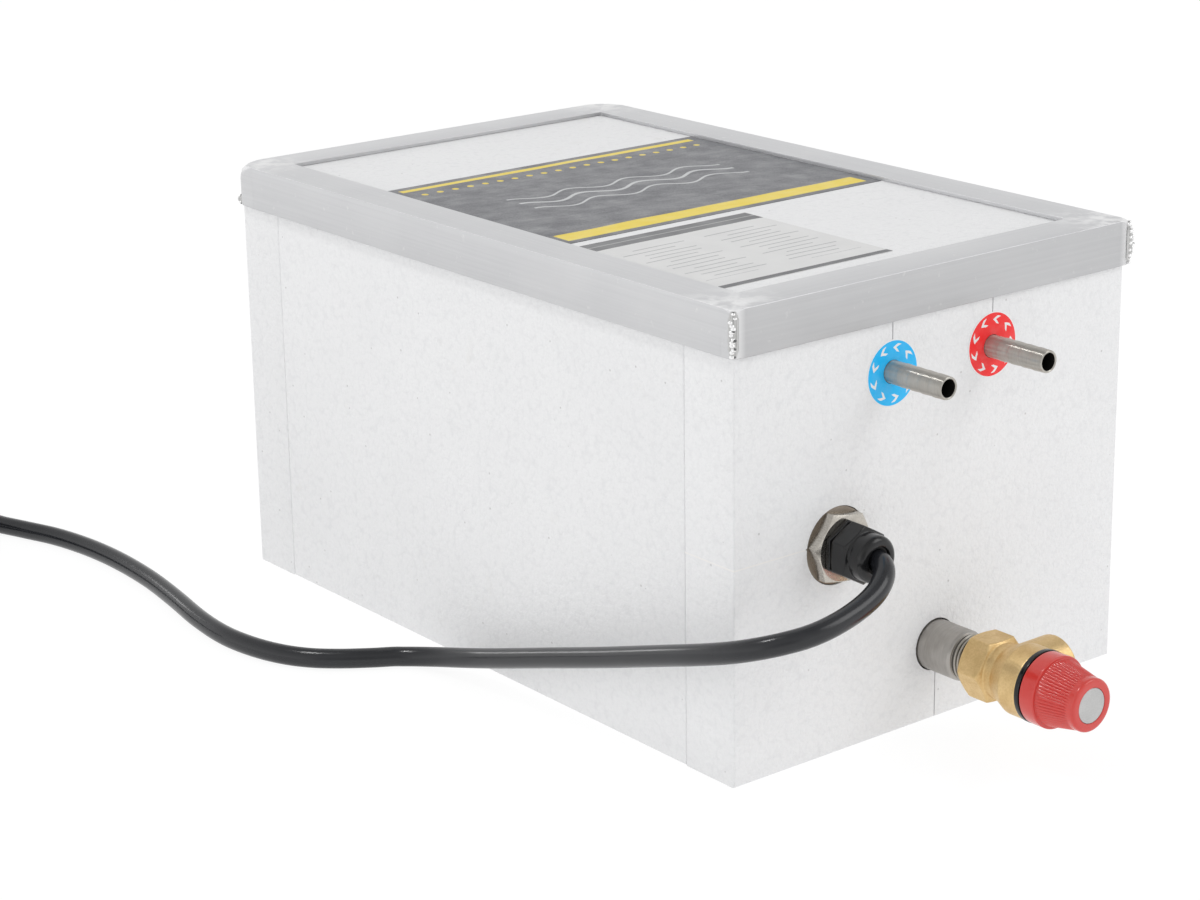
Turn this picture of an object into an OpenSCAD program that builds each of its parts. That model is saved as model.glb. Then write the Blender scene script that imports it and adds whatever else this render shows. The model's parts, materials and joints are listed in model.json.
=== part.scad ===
// Caravan water heater: a stainless tank boxed in foam boards under a welded aluminium frame,
// with two hose tails, a screw-in electric element, a relief valve and a supply lead.
// The face with the fittings looks along -Y. Z = 0 is the surface that the heater stands on,
// and the origin is the centre of the base.

/* [Case] */
// Width of the foam box
case_w = 222; // [214:1:236]
// Length of the foam box, front to back
case_l = 356; // [340:1:376]
// Height of the foam box, up to the underside of the frame
case_h = 198; // [192:1:210]
// Thickness of the four wall boards
wall_t = 30; // [26:1:34]
// Thickness of the top board
top_t = 16; // [12:1:17]
// Thickness of the bottom board
bottom_t = 16; // [12:1:18]
// Width of the slits that let the front board pass over the pipes and the heater
slit_w = 0.6; // [0.4:0.1:1.6]
// Height of the slit left of the heater over the heater's axis
side_slit_rise = 2; // [0:0.5:6]

/* [Frame] */
// Height of the angle's side leg
angle_side = 20; // [16:1:26]
// Width of the angle's top leg
angle_top = 20; // [16:1:26]
// Thickness of the angle
angle_t = 2; // [1.5:0.1:3]
// Number of bumps in each corner weld
weld_bumps = 6; // [4:1:8]

/* [Labels] */
// Thickness of the printed films
film_t = 0.25; // [0.15:0.05:0.5]
// Length of the top label, front to back
top_label_l = 135; // [110:1:140]
// Gap between the top label and the data label
label_gap = 6.5; // [3:0.5:10]
// Width of the data label
data_label_w = 96; // [80:1:110]
// Length of the data label, front to back
data_label_l = 93; // [80:1:94]
// Gap from the front leg of the frame to the data label
data_label_gap = 13; // [10:1:14]
// Outer diameter of the ring labels round the hose tails
ring_label_d = 27; // [24:0.5:30]

/* [Tank] */
// Space between the tank and the front, back and top boards
tank_gap = 0.9; // [0.5:0.1:0.9]
// Space between the tank and the side boards
tank_side_gap = 1.5; // [0.5:0.1:3]
// Thickness of the tank's wrapped sheet
tank_wall = 1.2; // [0.8:0.1:2]
// Radius of the tank's long edges
tank_edge_r = 25; // [18:1:32]
// Thickness of the tank's end plates
end_plate_t = 1.5; // [1:0.1:2.5]
// Depth of the lip on the end plates
end_lip_l = 8; // [5:1:12]

/* [Hose tails] */
// Distance of the cold tail to the left of the middle plane
cold_tail_x = 26.1; // [22:0.1:34]
// Distance of the hot tail to the right of the middle plane
hot_tail_x = 31.3; // [26:0.1:36]
// Depth of the hose tails' axes below the top of the foam
tail_drop = 39.4; // [33:0.2:44]
// Outer diameter of the hose tails
tail_d = 10; // [9:0.1:11]
// Length of the hose tails outside the case
tail_out = 32; // [26:1:40]
// Outer diameter of the pipes behind the tails
pipe_d = 9.4; // [8.4:0.1:9.8]
// Bore of the pipes and tails
pipe_bore_d = 7.6; // [6:0.1:7.8]
// Bend radius of the pipes inside the tank
pipe_bend_r = 14; // [10:1:16]
// Height of the cold pipe's mouth over the tank's floor
cold_mouth_h = 14; // [10:1:24]
// Gap between the hot pipe's mouth and the tank's roof
hot_mouth_gap = 3; // [2:0.5:5]

/* [Heater] */
// Distance of the heater's axis from the left side of the case
heater_edge = 55.5; // [52:0.5:57]
// Height of the heater's axis
heater_z = 91; // [88:0.5:96]
// Width across flats of the heater head
head_af = 28; // [27:0.5:31]
// How far the heater head stands out of the foam
head_out = 5; // [4:0.5:9]
// Diameter of the heater's screwed spigot
spigot_d = 26; // [24:0.5:27]
// Length of the welded socket on the tank
socket_l = 11; // [8:1:13]
// Outer diameter of the welded socket
socket_d = 31.5; // [31:0.5:34]
// Thickness of the heater gasket
gasket_t = 1.5; // [1:0.1:2.5]
// Diameter of the element's sheath
element_d = 8; // [6:0.5:8.5]
// Distance between the element's legs
element_pitch = 13; // [12:0.5:14]
// Length of the element inside the tank
element_l = 210; // [150:5:240]
// Length of the thermostat probe inside the tank
probe_l = 50; // [30:5:90]

/* [Cable gland] */
// Width across flats of the gland
gland_af = 22; // [20:0.5:24]
// Length of the gland body's hexagon
gland_flange_l = 2.5; // [2:0.5:5]
// Length of the gland nut's hexagon
gland_nut_l = 9; // [6:0.5:12]
// Length of the gland nut's rounded nose
gland_nose_l = 8; // [6:0.5:9]
// Diameter of the gland's screw thread
gland_thread_d = 15.8; // [14:0.2:16]

/* [Relief valve] */
// Distance of the relief valve's axis to the right of the middle plane
relief_x = 1.8; // [-4:0.1:4]
// Height of the relief valve's axis
relief_z = 33.3; // [33:0.1:38]
// Outer diameter of the relief pipe
relief_pipe_d = 22; // [21:0.1:23]
// Length of plain pipe outside the foam
relief_pipe_out = 18.5; // [13:0.5:20]
// Diameter over the thread on the relief pipe
relief_thread_d = 20.8; // [20:0.1:20.9]
// Length of the thread on the relief pipe
relief_thread_l = 13.5; // [12:0.5:17]
// Distance from the foam to the back of the valve's hexagon
valve_start = 26; // [23:0.5:29]
// Width across flats of the valve's hexagon
valve_af = 26; // [25.5:0.5:28]
// Length of the valve's hexagon
valve_hex_l = 13; // [12:0.5:16]
// Diameter of the waist behind the hexagon
valve_waist_d = 24; // [23.5:0.5:26]
// Diameter of the valve's round body
valve_body_d = 30.8; // [29:0.1:32]
// Length of the valve body in front of its hexagon
valve_body_l = 21; // [20:0.5:24]
// Diameter of the side outlet
outlet_d = 25; // [24:0.5:25.5]
// Reach of the side outlet from the valve's axis
outlet_reach = 23; // [20:0.5:28]
// Bore of the side outlet
outlet_bore_d = 18.6; // [17:0.1:19]
// Depth of the bore of the side outlet
outlet_bore_l = 10; // [8:0.5:10]
// Bore of the valve's seat
seat_bore_d = 13; // [10:0.5:13]
// Diameter of the valve's spindle
spindle_d = 5; // [4:0.1:6]
// Wire diameter of the spring
spring_wire = 1.6; // [1:0.1:1.8]
// Diameter of the spring at the middle of its wire
spring_d = 14; // [12:0.5:15]
// Number of curls in the spring
spring_curls = 6; // [4:1:7]

/* [Knob] */
// Diameter of the knob's foot ring
knob_d = 31; // [30:0.1:33]
// Height of the knob's foot ring
knob_foot_l = 7.6; // [7:0.1:9]
// Height of the fluted cone
knob_cone_l = 14.6; // [13:0.2:18]
// Diameter of the fluted cone at the foot
cone_foot_d = 28.5; // [27:0.1:28.8]
// Diameter of the fluted cone at the end
cone_end_d = 22.8; // [21:0.1:24]
// Number of flutes
flutes = 60; // [36:2:72]
// Depth of the flutes
flute_depth = 0.45; // [0.2:0.05:0.6]
// Thickness of the smooth ring round the knob's end
knob_end_l = 3.2; // [2.6:0.1:4]
// Diameter of the disc in the knob's end
insert_d = 14.9; // [14:0.1:16]
// Rise of the lifting cam over a quarter turn
cam_rise = 1.8; // [1:0.1:1.9]

/* [Lead] */
// Diameter of the supply lead
cord_d = 9; // [8.2:0.1:9.2]
// Radius of the coil's outer turn
coil_r = 57; // [54:0.5:58]
// Radial step of the coil's turns
coil_step = 11; // [10:0.5:12]
// Height step of the coil's layers
coil_rise = 10; // [9.8:0.1:11]
// Thickness of the coil's tie
tie_t = 1; // [0.8:0.1:1.2]
// Width of the coil's tie
tie_w = 10; // [6:1:14]
// Diameter of the plug's face
plug_d = 37; // [36:0.5:40]
// Diameter of the plug's pins
plug_pin_d = 4.8; // [4:0.1:5]
// Length of the plug's pins
plug_pin_l = 19; // [16:0.5:22]
// Distance between the plug's pins
plug_pin_pitch = 19; // [17:0.5:21]

/* [Clearances] */
// Space round pieces that screw or slot into each other
thread_gap = 0.1; // [0.05:0.01:0.2]
// Space round shafts that turn or slide
running_gap = 0.05; // [0.02:0.01:0.1]
// Space between faces that move past each other
moving_gap = 0.3; // [0.2:0.05:0.5]
// Space round the pipes in the foam
foam_gap = 0.6; // [0.3:0.1:1.5]

/* [Hidden] */
$fn = 64;

// Planes of the case
front_y = -case_l / 2;
wall_h = case_h - top_t;
inner_w = case_w - 2 * wall_t;
inner_l = case_l - 2 * wall_t;

// Outside of the frame, and the corner cut that the welds fill
frame_w = case_w + 2 * angle_t;
frame_l = case_l + 2 * angle_t;
frame_top = case_h + angle_t;
corner_cut = 1.5 * angle_t;
weld_r = corner_cut / sqrt(2);
label_w = frame_w - 2 * angle_top - 1;
data_label_y = -frame_l / 2 + angle_top + data_label_gap + data_label_l / 2;
top_label_y = data_label_y + data_label_l / 2 + label_gap + top_label_l / 2;

// Outside of the tank, which stands on the bottom board
tank_w = inner_w - 2 * tank_side_gap;
tank_l = inner_l - 2 * tank_gap;
tank_h = wall_h - bottom_t - tank_gap;
tank_mid_z = bottom_t + tank_h / 2;
// Depth of the tank's front behind the face of the foam
tank_face = -(wall_t + tank_gap);
tail_z = case_h - tail_drop;
tail_xs = [-cold_tail_x, hot_tail_x];
ring_hole_d = tail_d + 2 * foam_gap;

// Heater and gland, as distances in front of the foam face
heater_x = case_w / 2 - heater_edge;
head_back = tank_face + socket_l + gasket_t;
spigot_end = tank_face - end_plate_t - 2;
chamber_floor = head_back - 8;
chamber_d = spigot_d - 6;
gland_spigot_l = 10;
heater_hole_d = max(2 * head_af / sqrt(3), socket_d) + 2 * foam_gap;
gland_flange_end = head_out + gland_flange_l;
gland_top_l = 6;
gland_nut_start = gland_flange_end + thread_gap;
gland_nut_end = gland_nut_start + gland_nut_l;
gland_exit = gland_nut_end + gland_nose_l;
gland_bore_d = cord_d + 0.8;
seal_d = gland_thread_d - 1.4;
seal_back = gland_flange_end + gland_top_l;
seal_front = gland_nut_end + 2;

// Relief valve, as distances in front of the foam face
hex_front = valve_start + valve_hex_l;
waist_end = hex_front + 4;
flare_end = waist_end + 8;
body_front = hex_front + valve_body_l;
inlet_bore_d = relief_thread_d + 2 * thread_gap;
inlet_end = relief_pipe_out + relief_thread_l + 2;
chamber_back = hex_front + 2;
seat_lip = chamber_back + 1.2;
valve_chamber_d = valve_waist_d - 3;
outlet_at = body_front - outlet_d / 2;
bonnet_l = 6;
bonnet_bore_d = valve_chamber_d + 3;
bonnet_rim_l = 2.2;
rim_front = body_front + bonnet_rim_l;
bonnet_neck_d = knob_d - 5.4;
cam_base = rim_front + 4.3;
bonnet_roof = cam_base - 3;
spring_bore_d = spring_d + spring_wire + 2.4;
disc_t = 2;
disc_back = seat_lip + 0.2;
carrier_back = disc_back + disc_t;
carrier_front = carrier_back + 2.6;
carrier_d = spring_d + spring_wire + 1.6;

// Knob, as distances in front of the foam face
knob_start = rim_front + moving_gap + 0.1;
foot_front = knob_start + knob_foot_l;
cone_front = foot_front + knob_cone_l;
knob_front = cone_front + knob_end_l;
knob_roof = cam_base + cam_rise + moving_gap + 1;
insert_t = 1.6;
insert_back = knob_front - insert_t;
nut_l = 3.2;
nut_af = spindle_d + 2;
hub_front = insert_back - nut_l - 3;
nut_back = hub_front + moving_gap;
cam_teeth = 4;
cam_pitch = 360 / cam_teeth;
cam_slack = 4;
cam_inner_r = 8.6;
cam_outer_r = bonnet_neck_d / 2 - 0.3;

// Coil of the put-away lead: one layer winds in, the next winds out on top of it
coil_centre = [-261, 317];
coil_first_angle = 24.5;
coil_turns = 2 + (180 - coil_first_angle) / 360;
coil_reverse = 0.5;
coil_layer_turns = (coil_turns - coil_reverse) / 2;
coil_z = cord_d / 2 + tie_t + 0.3;
coil_inner_r = coil_r - coil_step * coil_layer_turns;
plug_z = plug_d / 2;
coil_rings = 24;
coil_sides = 6;

// Plug, as distances from its cable end
plug_sleeve_l = 20;
plug_waist_at = 26;
plug_face_back = 43;
plug_face_front = 52;
plug_notch_w = 7;
plug_notch_depth = 3;
clip_t = 1;

// Route of the free lead: out of the gland, round the near corner, down the left side and over the floor
lead_z = cord_d / 2;
lead_route = [
    [-heater_x, front_y - seal_front, heater_z],
    [-heater_x, front_y - seal_front - 4.8, heater_z],
    [-56.5, -204.9, 90.8],
    [-59.6, -209.5, 89.2],
    [-64.2, -213, 87],
    [-69.8, -215.3, 84.5],
    [-76.8, -216.9, 82.3],
    [-85.5, -218.3, 80.4],
    [-96, -219.2, 78.7],
    [-106.5, -218, 76.9],
    [-116, -214, 75.1],
    [-123.5, -206.5, 72.4],
    [-127.8, -195, 68.4],
    [-129.5, -178, 62.8],
    [-129, -155, 55.2],
    [-127, -115, 41.7],
    [-125.5, -75, 28.8],
    [-125, -42, 18.3],
    [-125.5, -18, 11.2],
    [-129, 3, 6.2],
    [-137.5, 16.5, lead_z],
    [-149, 24.5, lead_z],
    [-160.5, 33, lead_z],
    [-170.5, 43, lead_z],
    [-178, 56, lead_z],
    [-183, 73, lead_z],
    [-185, 93, lead_z],
    [-183, 118, lead_z],
    [-178, 148, lead_z],
    [-174, 178, lead_z],
    [-172.5, 209, lead_z],
    [-174, 237, lead_z],
    [-178.5, 262, lead_z],
    [-185, 281, lead_z],
    [-191, 297, lead_z]
];
lead_steps = 2;
lead_sides = 10;
coil_start = [
    coil_centre.x + coil_r * cos(coil_first_angle),
    coil_centre.y + coil_r * sin(coil_first_angle),
    coil_z
];
coil_heading = [-sin(coil_first_angle), cos(coil_first_angle), 0];
coil_lead_in = coil_start - cord_d * coil_heading;

// Point t of the way from b to c on a smooth curve through a, b, c and d
function smooth_point(a, b, c, d, t) =
    0.5 * (2 * b + (c - a) * t + (2 * a - 5 * b + 4 * c - d) * t * t + (3 * b - a - 3 * c + d) * t * t * t);

// Smooth curve through a list of points, with so many steps between each pair
function smooth_path(points, steps) = [
    for (i = [0 : len(points) - 2], k = [0 : steps - 1])
        smooth_point(
            i == 0 ? 2 * points[0] - points[1] : points[i - 1], points[i], points[i + 1],
            i + 2 < len(points) ? points[i + 2] : 2 * points[i + 1] - points[i], k / steps
        ),
    points[len(points) - 1]
];

function unit(v) = v / norm(v);
function ease(t) = t <= 0 ? 0 : t >= 1 ? 1 : t * t * (3 - 2 * t);

// Direction of a path at one of its points
function heading(path, i) =
    i == 0 ? unit(path[1] - path[0]) :
    i == len(path) - 1 ? unit(path[i] - path[i - 1]) :
    unit(unit(path[i + 1] - path[i]) + unit(path[i] - path[i - 1]));

// One ring of points round a path
function tube_ring(path, i, r, sides) =
    let (along = heading(path, i), side = unit(cross(along, [0, 0, 1])), up = cross(side, along))
        [for (k = [0 : sides - 1]) path[i] + r * (side * cos(360 * k / sides) + up * sin(360 * k / sides))];

// Radius and height of the coil's middle after so many turns
function coil_radius(t) =
    t < coil_layer_turns ? coil_r - coil_step * t :
    t < coil_layer_turns + coil_reverse ? coil_inner_r :
    coil_inner_r + coil_step * (t - coil_layer_turns - coil_reverse);
function coil_height(t) =
    coil_z + coil_rise * ease((t - coil_layer_turns) / coil_reverse)
    + (plug_z - coil_z - coil_rise) * ease((t - coil_turns + 0.4) / 0.4);
function coil_point(t) =
    let (a = coil_first_angle + 360 * t, r = coil_radius(t))
        [coil_centre.x + r * cos(a), coil_centre.y + r * sin(a), coil_height(t)];

coil_count = round(coil_turns * coil_rings);
coil_end = coil_point(coil_turns);
coil_path = concat(
    [coil_lead_in],
    [for (i = [0 : coil_count]) coil_point(coil_turns * i / coil_count)],
    [coil_end + [0, -cord_d, 0]]
);
plug_entry = coil_end + [0, -cord_d, 0];

function spring_point(t, low, high) =
    [spring_d / 2 * cos(360 * t), spring_d / 2 * sin(360 * t), low + (high - low) * t / spring_curls];
spring_low = carrier_front + spring_wire / 2 + 0.2;
spring_high = bonnet_roof - spring_wire / 2 - 0.2;
spring_path = [for (i = [0 : 8 * spring_curls]) spring_point(i / 8, spring_low, spring_high)];

// Least gap of a wound tube to itself, over points that lie at least half a turn apart
function self_gap(path, d, apart) =
    min([for (i = [0 : len(path) - 1], j = [i + apart : len(path) - 1]) if (j < len(path)) norm(path[i] - path[j])]) - d;
function path_length(path) = len(path) < 2 ? 0 : sum_steps(path, len(path) - 1);
function sum_steps(path, i) = i == 0 ? 0 : norm(path[i] - path[i - 1]) + sum_steps(path, i - 1);

lead_end = [for (k = [2, 1, 0]) coil_lead_in - k * cord_d * coil_heading];
lead_path = [
    for (p = smooth_path(concat(lead_route, lead_end), lead_steps)) [p.x, p.y, max(p.z, lead_z)]
];
echo(lead_length = path_length(lead_path) + path_length(coil_path), lead_free = path_length(lead_path));
echo(coil_gap = self_gap(coil_path, cord_d, coil_rings / 2), spring_gap = self_gap(spring_path, spring_wire, 5));

// Shapes that repeat

// Puts a shape on the front face, with its Z axis pointing out of the case
module on_front(x, z) {
    translate([x, front_y, z]) rotate([90, 0, 0]) children();
}

module on_heater() {
    on_front(-heater_x, heater_z) children();
}

module on_relief() {
    on_front(relief_x, relief_z) children();
}

module rounded_rect(w, h, r) {
    square([w - 2 * r, h], center = true);
    square([w, h - 2 * r], center = true);
    for (sx = [-1, 1], sy = [-1, 1])
        translate([sx * (w / 2 - r), sy * (h / 2 - r)]) circle(r);
}

// Round bar from one height to another
module bar(d, from, to) {
    translate([0, 0, from]) cylinder(d = d, h = to - from);
}

module washer(outer_d, inner_d, from, to) {
    difference() {
        bar(outer_d, from, to);
        bar(inner_d, from - 1, to + 1);
    }
}

// Hexagon bar with its corners turned off at both ends
module hex_bar(af, from, to, bevel) {
    corner_r = af / sqrt(3);
    intersection() {
        translate([0, 0, from]) cylinder(r = corner_r, h = to - from, $fn = 6);
        rotate_extrude()
            polygon([
                [0, from], [af / 2 - 0.3, from], [corner_r, from + bevel],
                [corner_r, to - bevel], [af / 2 - 0.3, to], [0, to]
            ]);
    }
}

module tube(path, d, sides) {
    rings = len(path);
    points = [for (i = [0 : rings - 1]) each tube_ring(path, i, d / 2, sides)];
    walls = [
        for (i = [0 : rings - 2], k = [0 : sides - 1])
            let (a = i * sides + k, b = i * sides + (k + 1) % sides)
                each [[a, a + sides, b], [b, a + sides, b + sides]]
    ];
    first_cap = [for (k = [1 : sides - 2]) [0, k, k + 1]];
    last = (rings - 1) * sides;
    last_cap = [for (k = [1 : sides - 2]) [last, last + k + 1, last + k]];
    polyhedron(points, concat(walls, first_cap, last_cap));
}

module foam(size, at) {
    color("whitesmoke") translate(at) cube(size);
}

// Case of foam boards

// Cut through the front board from a pipe's axis to its top or bottom edge
module slit(x, from, to) {
    translate([x - slit_w / 2, front_y - 1, from]) cube([slit_w, wall_t + 2, to - from]);
}

module front_panel() {
    color("whitesmoke") difference() {
        translate([-case_w / 2, front_y, 0]) cube([case_w, wall_t, wall_h]);
        on_heater() bar(heater_hole_d, -wall_t - 1, 1);
        on_relief() bar(relief_pipe_d + 2 * foam_gap, -wall_t - 1, 1);
        slit(relief_x, -1, relief_z);
        for (x = tail_xs) {
            on_front(x, tail_z) bar(ring_hole_d, -wall_t - 1, 1);
            slit(x, tail_z, wall_h + 1);
        }
        // Cut from the heater to the left edge
        translate([-case_w / 2 - 1, front_y - 1, heater_z + side_slit_rise - slit_w / 2])
            cube([case_w / 2 + 1 - heater_x, wall_t + 2, slit_w]);
    }
}

module back_panel() {
    foam([case_w, wall_t, wall_h], [-case_w / 2, case_l / 2 - wall_t, 0]);
}

module left_panel() {
    foam([wall_t, inner_l, wall_h], [-case_w / 2, -inner_l / 2, 0]);
}

module right_panel() {
    foam([wall_t, inner_l, wall_h], [inner_w / 2, -inner_l / 2, 0]);
}

module top_panel() {
    foam([case_w, case_l, top_t], [-case_w / 2, front_y, wall_h]);
}

module bottom_panel() {
    foam([inner_w, inner_l, bottom_t], [-inner_w / 2, -inner_l / 2, 0]);
}

// Frame of mitred angle

// Plan of one leg of a rail that lies along X with its outer face at y = -out
module mitred_strip(span, out, leg) {
    polygon([
        [-span / 2 + corner_cut, -out], [span / 2 - corner_cut, -out],
        [span / 2 - corner_cut / 2, -out + corner_cut / 2], [span / 2 - leg, -out + leg],
        [-span / 2 + leg, -out + leg], [-span / 2 + corner_cut / 2, -out + corner_cut / 2]
    ]);
}

module frame_rail(span, out) {
    color("silver") {
        translate([0, 0, case_h]) linear_extrude(angle_t) mitred_strip(span, out, angle_top);
        translate([0, 0, frame_top - angle_side]) linear_extrude(angle_side) mitred_strip(span, out, angle_t);
    }
}

module frame_rail_front() {
    frame_rail(frame_w, frame_l / 2);
}

module frame_rail_back() {
    rotate(180) frame_rail(frame_w, frame_l / 2);
}

module frame_rail_left() {
    rotate(-90) frame_rail(frame_l, frame_w / 2);
}

module frame_rail_right() {
    rotate(90) frame_rail(frame_l, frame_w / 2);
}

// Bead of overlapping bumps against the cut corner
module weld_bead() {
    low = frame_top - angle_side + weld_r;
    step = (angle_side - 2 * weld_r) / (weld_bumps - 1);
    difference() {
        union() {
            bar(1.7 * weld_r, low, low + (weld_bumps - 1) * step);
            for (i = [0 : weld_bumps - 1])
                translate([0, 0, low + i * step]) sphere(weld_r);
        }
        translate([-4 * weld_r, -2 * weld_r, 0]) cube([4 * weld_r, 4 * weld_r, 2 * frame_top]);
    }
}

module corner_welds() {
    color("gainsboro")
        for (sx = [-1, 1], sy = [-1, 1])
            translate([sx * (frame_w - corner_cut) / 2, sy * (frame_l - corner_cut) / 2, 0])
                rotate(atan2(sy, sx)) weld_bead();
}

// Printed films

module top_label() {
    color("dimgray") translate([0, top_label_y, case_h])
        linear_extrude(film_t) rounded_rect(label_w, top_label_l, 1);
}

module data_label() {
    color("white")
        translate([-label_w / 2 + data_label_w / 2, data_label_y, case_h])
            linear_extrude(film_t) rounded_rect(data_label_w, data_label_l, 1);
}

module ring_label(x) {
    on_front(x, tail_z) washer(ring_label_d, ring_hole_d, 0, film_t);
}

module cold_ring_label() {
    color("deepskyblue") ring_label(-cold_tail_x);
}

module hot_ring_label() {
    color("firebrick") ring_label(hot_tail_x);
}

// Tank

// Outline of the tank, a given distance inside its outer face
module tank_outline(inset) {
    rounded_rect(tank_w - 2 * inset, tank_h - 2 * inset, tank_edge_r - inset);
}

module tank_shell() {
    color("lightsteelblue") translate([0, tank_l / 2 - end_plate_t, tank_mid_z]) rotate([90, 0, 0])
        linear_extrude(tank_l - 2 * end_plate_t) difference() {
            tank_outline(0);
            tank_outline(tank_wall);
        }
}

// End plate with its lip, with the outer face at z = 0 and the lip behind it
module tank_end() {
    translate([0, 0, -end_plate_t]) linear_extrude(end_plate_t) tank_outline(0);
    translate([0, 0, -end_plate_t - end_lip_l]) linear_extrude(end_lip_l) difference() {
        tank_outline(tank_wall + thread_gap);
        tank_outline(2 * tank_wall + thread_gap);
    }
}

module tank_front_end() {
    color("lightsteelblue") difference() {
        translate([0, -tank_l / 2, tank_mid_z]) rotate([90, 0, 0]) tank_end();
        for (x = tail_xs) on_front(x, tail_z) bar(pipe_d + 2 * thread_gap, tank_face - 20, 0);
        on_heater() bar(spigot_d + 2 * thread_gap, tank_face - 20, 0);
        on_relief() bar(relief_pipe_d + 2 * thread_gap, tank_face - 20, 0);
    }
}

module tank_rear_end() {
    color("lightsteelblue") translate([0, tank_l / 2, tank_mid_z]) rotate([-90, 0, 0]) tank_end();
}

// Pipe of one diameter that runs into the tank, bends and ends after a leg up or down
module bent_pipe(d, from, straight_end, leg) {
    bar(d, straight_end, from);
    turn = leg > 0 ? 1 : -1;
    translate([0, turn * pipe_bend_r, straight_end]) rotate([0, 90, 0]) rotate(leg > 0 ? -90 : 0)
        rotate_extrude(angle = 90) translate([pipe_bend_r, 0]) circle(d = d);
    translate([0, turn * pipe_bend_r, straight_end - pipe_bend_r]) rotate([-90 * turn, 0, 0])
        cylinder(d = d, h = abs(leg) - pipe_bend_r);
}

module hose_tail(x, leg) {
    straight_end = tank_face - 24;
    color("silver") on_front(x, tail_z) difference() {
        union() {
            bar(tail_d, 0, tail_out);
            bent_pipe(pipe_d, 1, straight_end, leg);
        }
        bar(pipe_bore_d, -1, tail_out + 1);
        bent_pipe(pipe_bore_d, 0, straight_end, leg + sign(leg));
    }
}

module cold_pipe() {
    hose_tail(-cold_tail_x, -(tail_z - bottom_t - tank_wall - cold_mouth_h));
}

module hot_pipe() {
    hose_tail(hot_tail_x, bottom_t + tank_h - tank_wall - hot_mouth_gap - tail_z);
}

module relief_pipe() {
    color("silver") on_relief() difference() {
        union() {
            bar(relief_pipe_d, tank_face - end_plate_t - 2, relief_pipe_out);
            bar(relief_thread_d, relief_pipe_out - 1, relief_pipe_out + relief_thread_l);
        }
        bar(relief_thread_d - 4.4, tank_face - end_plate_t - 3, relief_pipe_out + relief_thread_l + 1);
    }
}

// Electric heater

module heater_socket() {
    color("silver") on_heater() washer(socket_d, spigot_d + 2 * thread_gap, tank_face, tank_face + socket_l);
}

module heater_gasket() {
    color("darkred") on_heater()
        washer(socket_d - 0.6, spigot_d + 2 * thread_gap, tank_face + socket_l, head_back);
}

// Places for the element's two legs
module at_legs() {
    for (side = [-1, 1])
        translate([0, side * element_pitch / 2, 0]) children();
}

probe_d = 4.4;
probe_x = (spigot_d - probe_d) / 2 - 2;

// Angle at which the head ended up when it was screwed in
head_turn = -9;

module heater_head() {
    color("silver") on_heater() difference() {
        union() {
            rotate(head_turn) hex_bar(head_af, head_back, head_out, 2.4);
            bar(spigot_d, spigot_end, head_back + 1);
        }
        bar(chamber_d, chamber_floor, head_out - gland_spigot_l - 1);
        bar(gland_thread_d + 2 * thread_gap, head_out - gland_spigot_l - 2, head_out + 1);
        at_legs() bar(element_d + 2 * thread_gap, spigot_end - 1, chamber_floor + 1);
        translate([probe_x, 0, 0]) bar(probe_d + 2 * thread_gap, spigot_end - 1, chamber_floor + 1);
    }
}

module heater_element() {
    bend_at = tank_face - element_l + element_pitch / 2;
    color("dimgray") on_heater() {
        at_legs() bar(element_d, bend_at, chamber_floor);
        translate([0, 0, bend_at]) rotate([0, 90, 0]) rotate(-90)
            rotate_extrude(angle = 180) translate([element_pitch / 2, 0]) circle(d = element_d);
    }
}

module thermostat_probe() {
    color("peru") on_heater() translate([probe_x, 0, 0]) bar(probe_d, tank_face - probe_l, chamber_floor);
}

module thermostat() {
    color("white") on_heater() {
        bar(chamber_d - 3, chamber_floor, chamber_floor + 6);
        bar(chamber_d - 9, chamber_floor + 6, chamber_floor + 8);
    }
}

// Cable gland

module gland_body() {
    color("black") on_heater() difference() {
        union() {
            bar(gland_thread_d, head_out - gland_spigot_l, head_out + 1);
            rotate(30) hex_bar(gland_af, head_out, gland_flange_end, 0.5);
            bar(gland_thread_d, gland_flange_end - 1, seal_back);
        }
        bar(gland_bore_d, head_out - gland_spigot_l - 1, seal_back + 1);
    }
}

module gland_seal() {
    color("dimgray") on_heater() washer(seal_d, cord_d + 2 * thread_gap, seal_back, seal_front);
}

module gland_nut() {
    nose_r = 3;
    nose_d = gland_af - 2;
    color("black") on_heater() difference() {
        union() {
            rotate(30) hex_bar(gland_af, gland_nut_start, gland_nut_end, 0.9);
            bar(nose_d, gland_nut_end - 1, gland_exit - nose_r);
            bar(nose_d - 2 * nose_r, gland_nut_end, gland_exit);
            rotate_extrude() translate([nose_d / 2 - nose_r, gland_exit - nose_r]) circle(nose_r);
        }
        bar(gland_thread_d + 2 * thread_gap, gland_nut_start - 1, seal_back + thread_gap);
        bar(seal_d + 2 * thread_gap, seal_back - 1, seal_front + thread_gap);
        bar(cord_d + 3, seal_front - 1, gland_exit + 1);
    }
}

module cable_tail() {
    color("black") on_heater() bar(cord_d, chamber_floor + 9, seal_front);
}

// Relief valve

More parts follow.
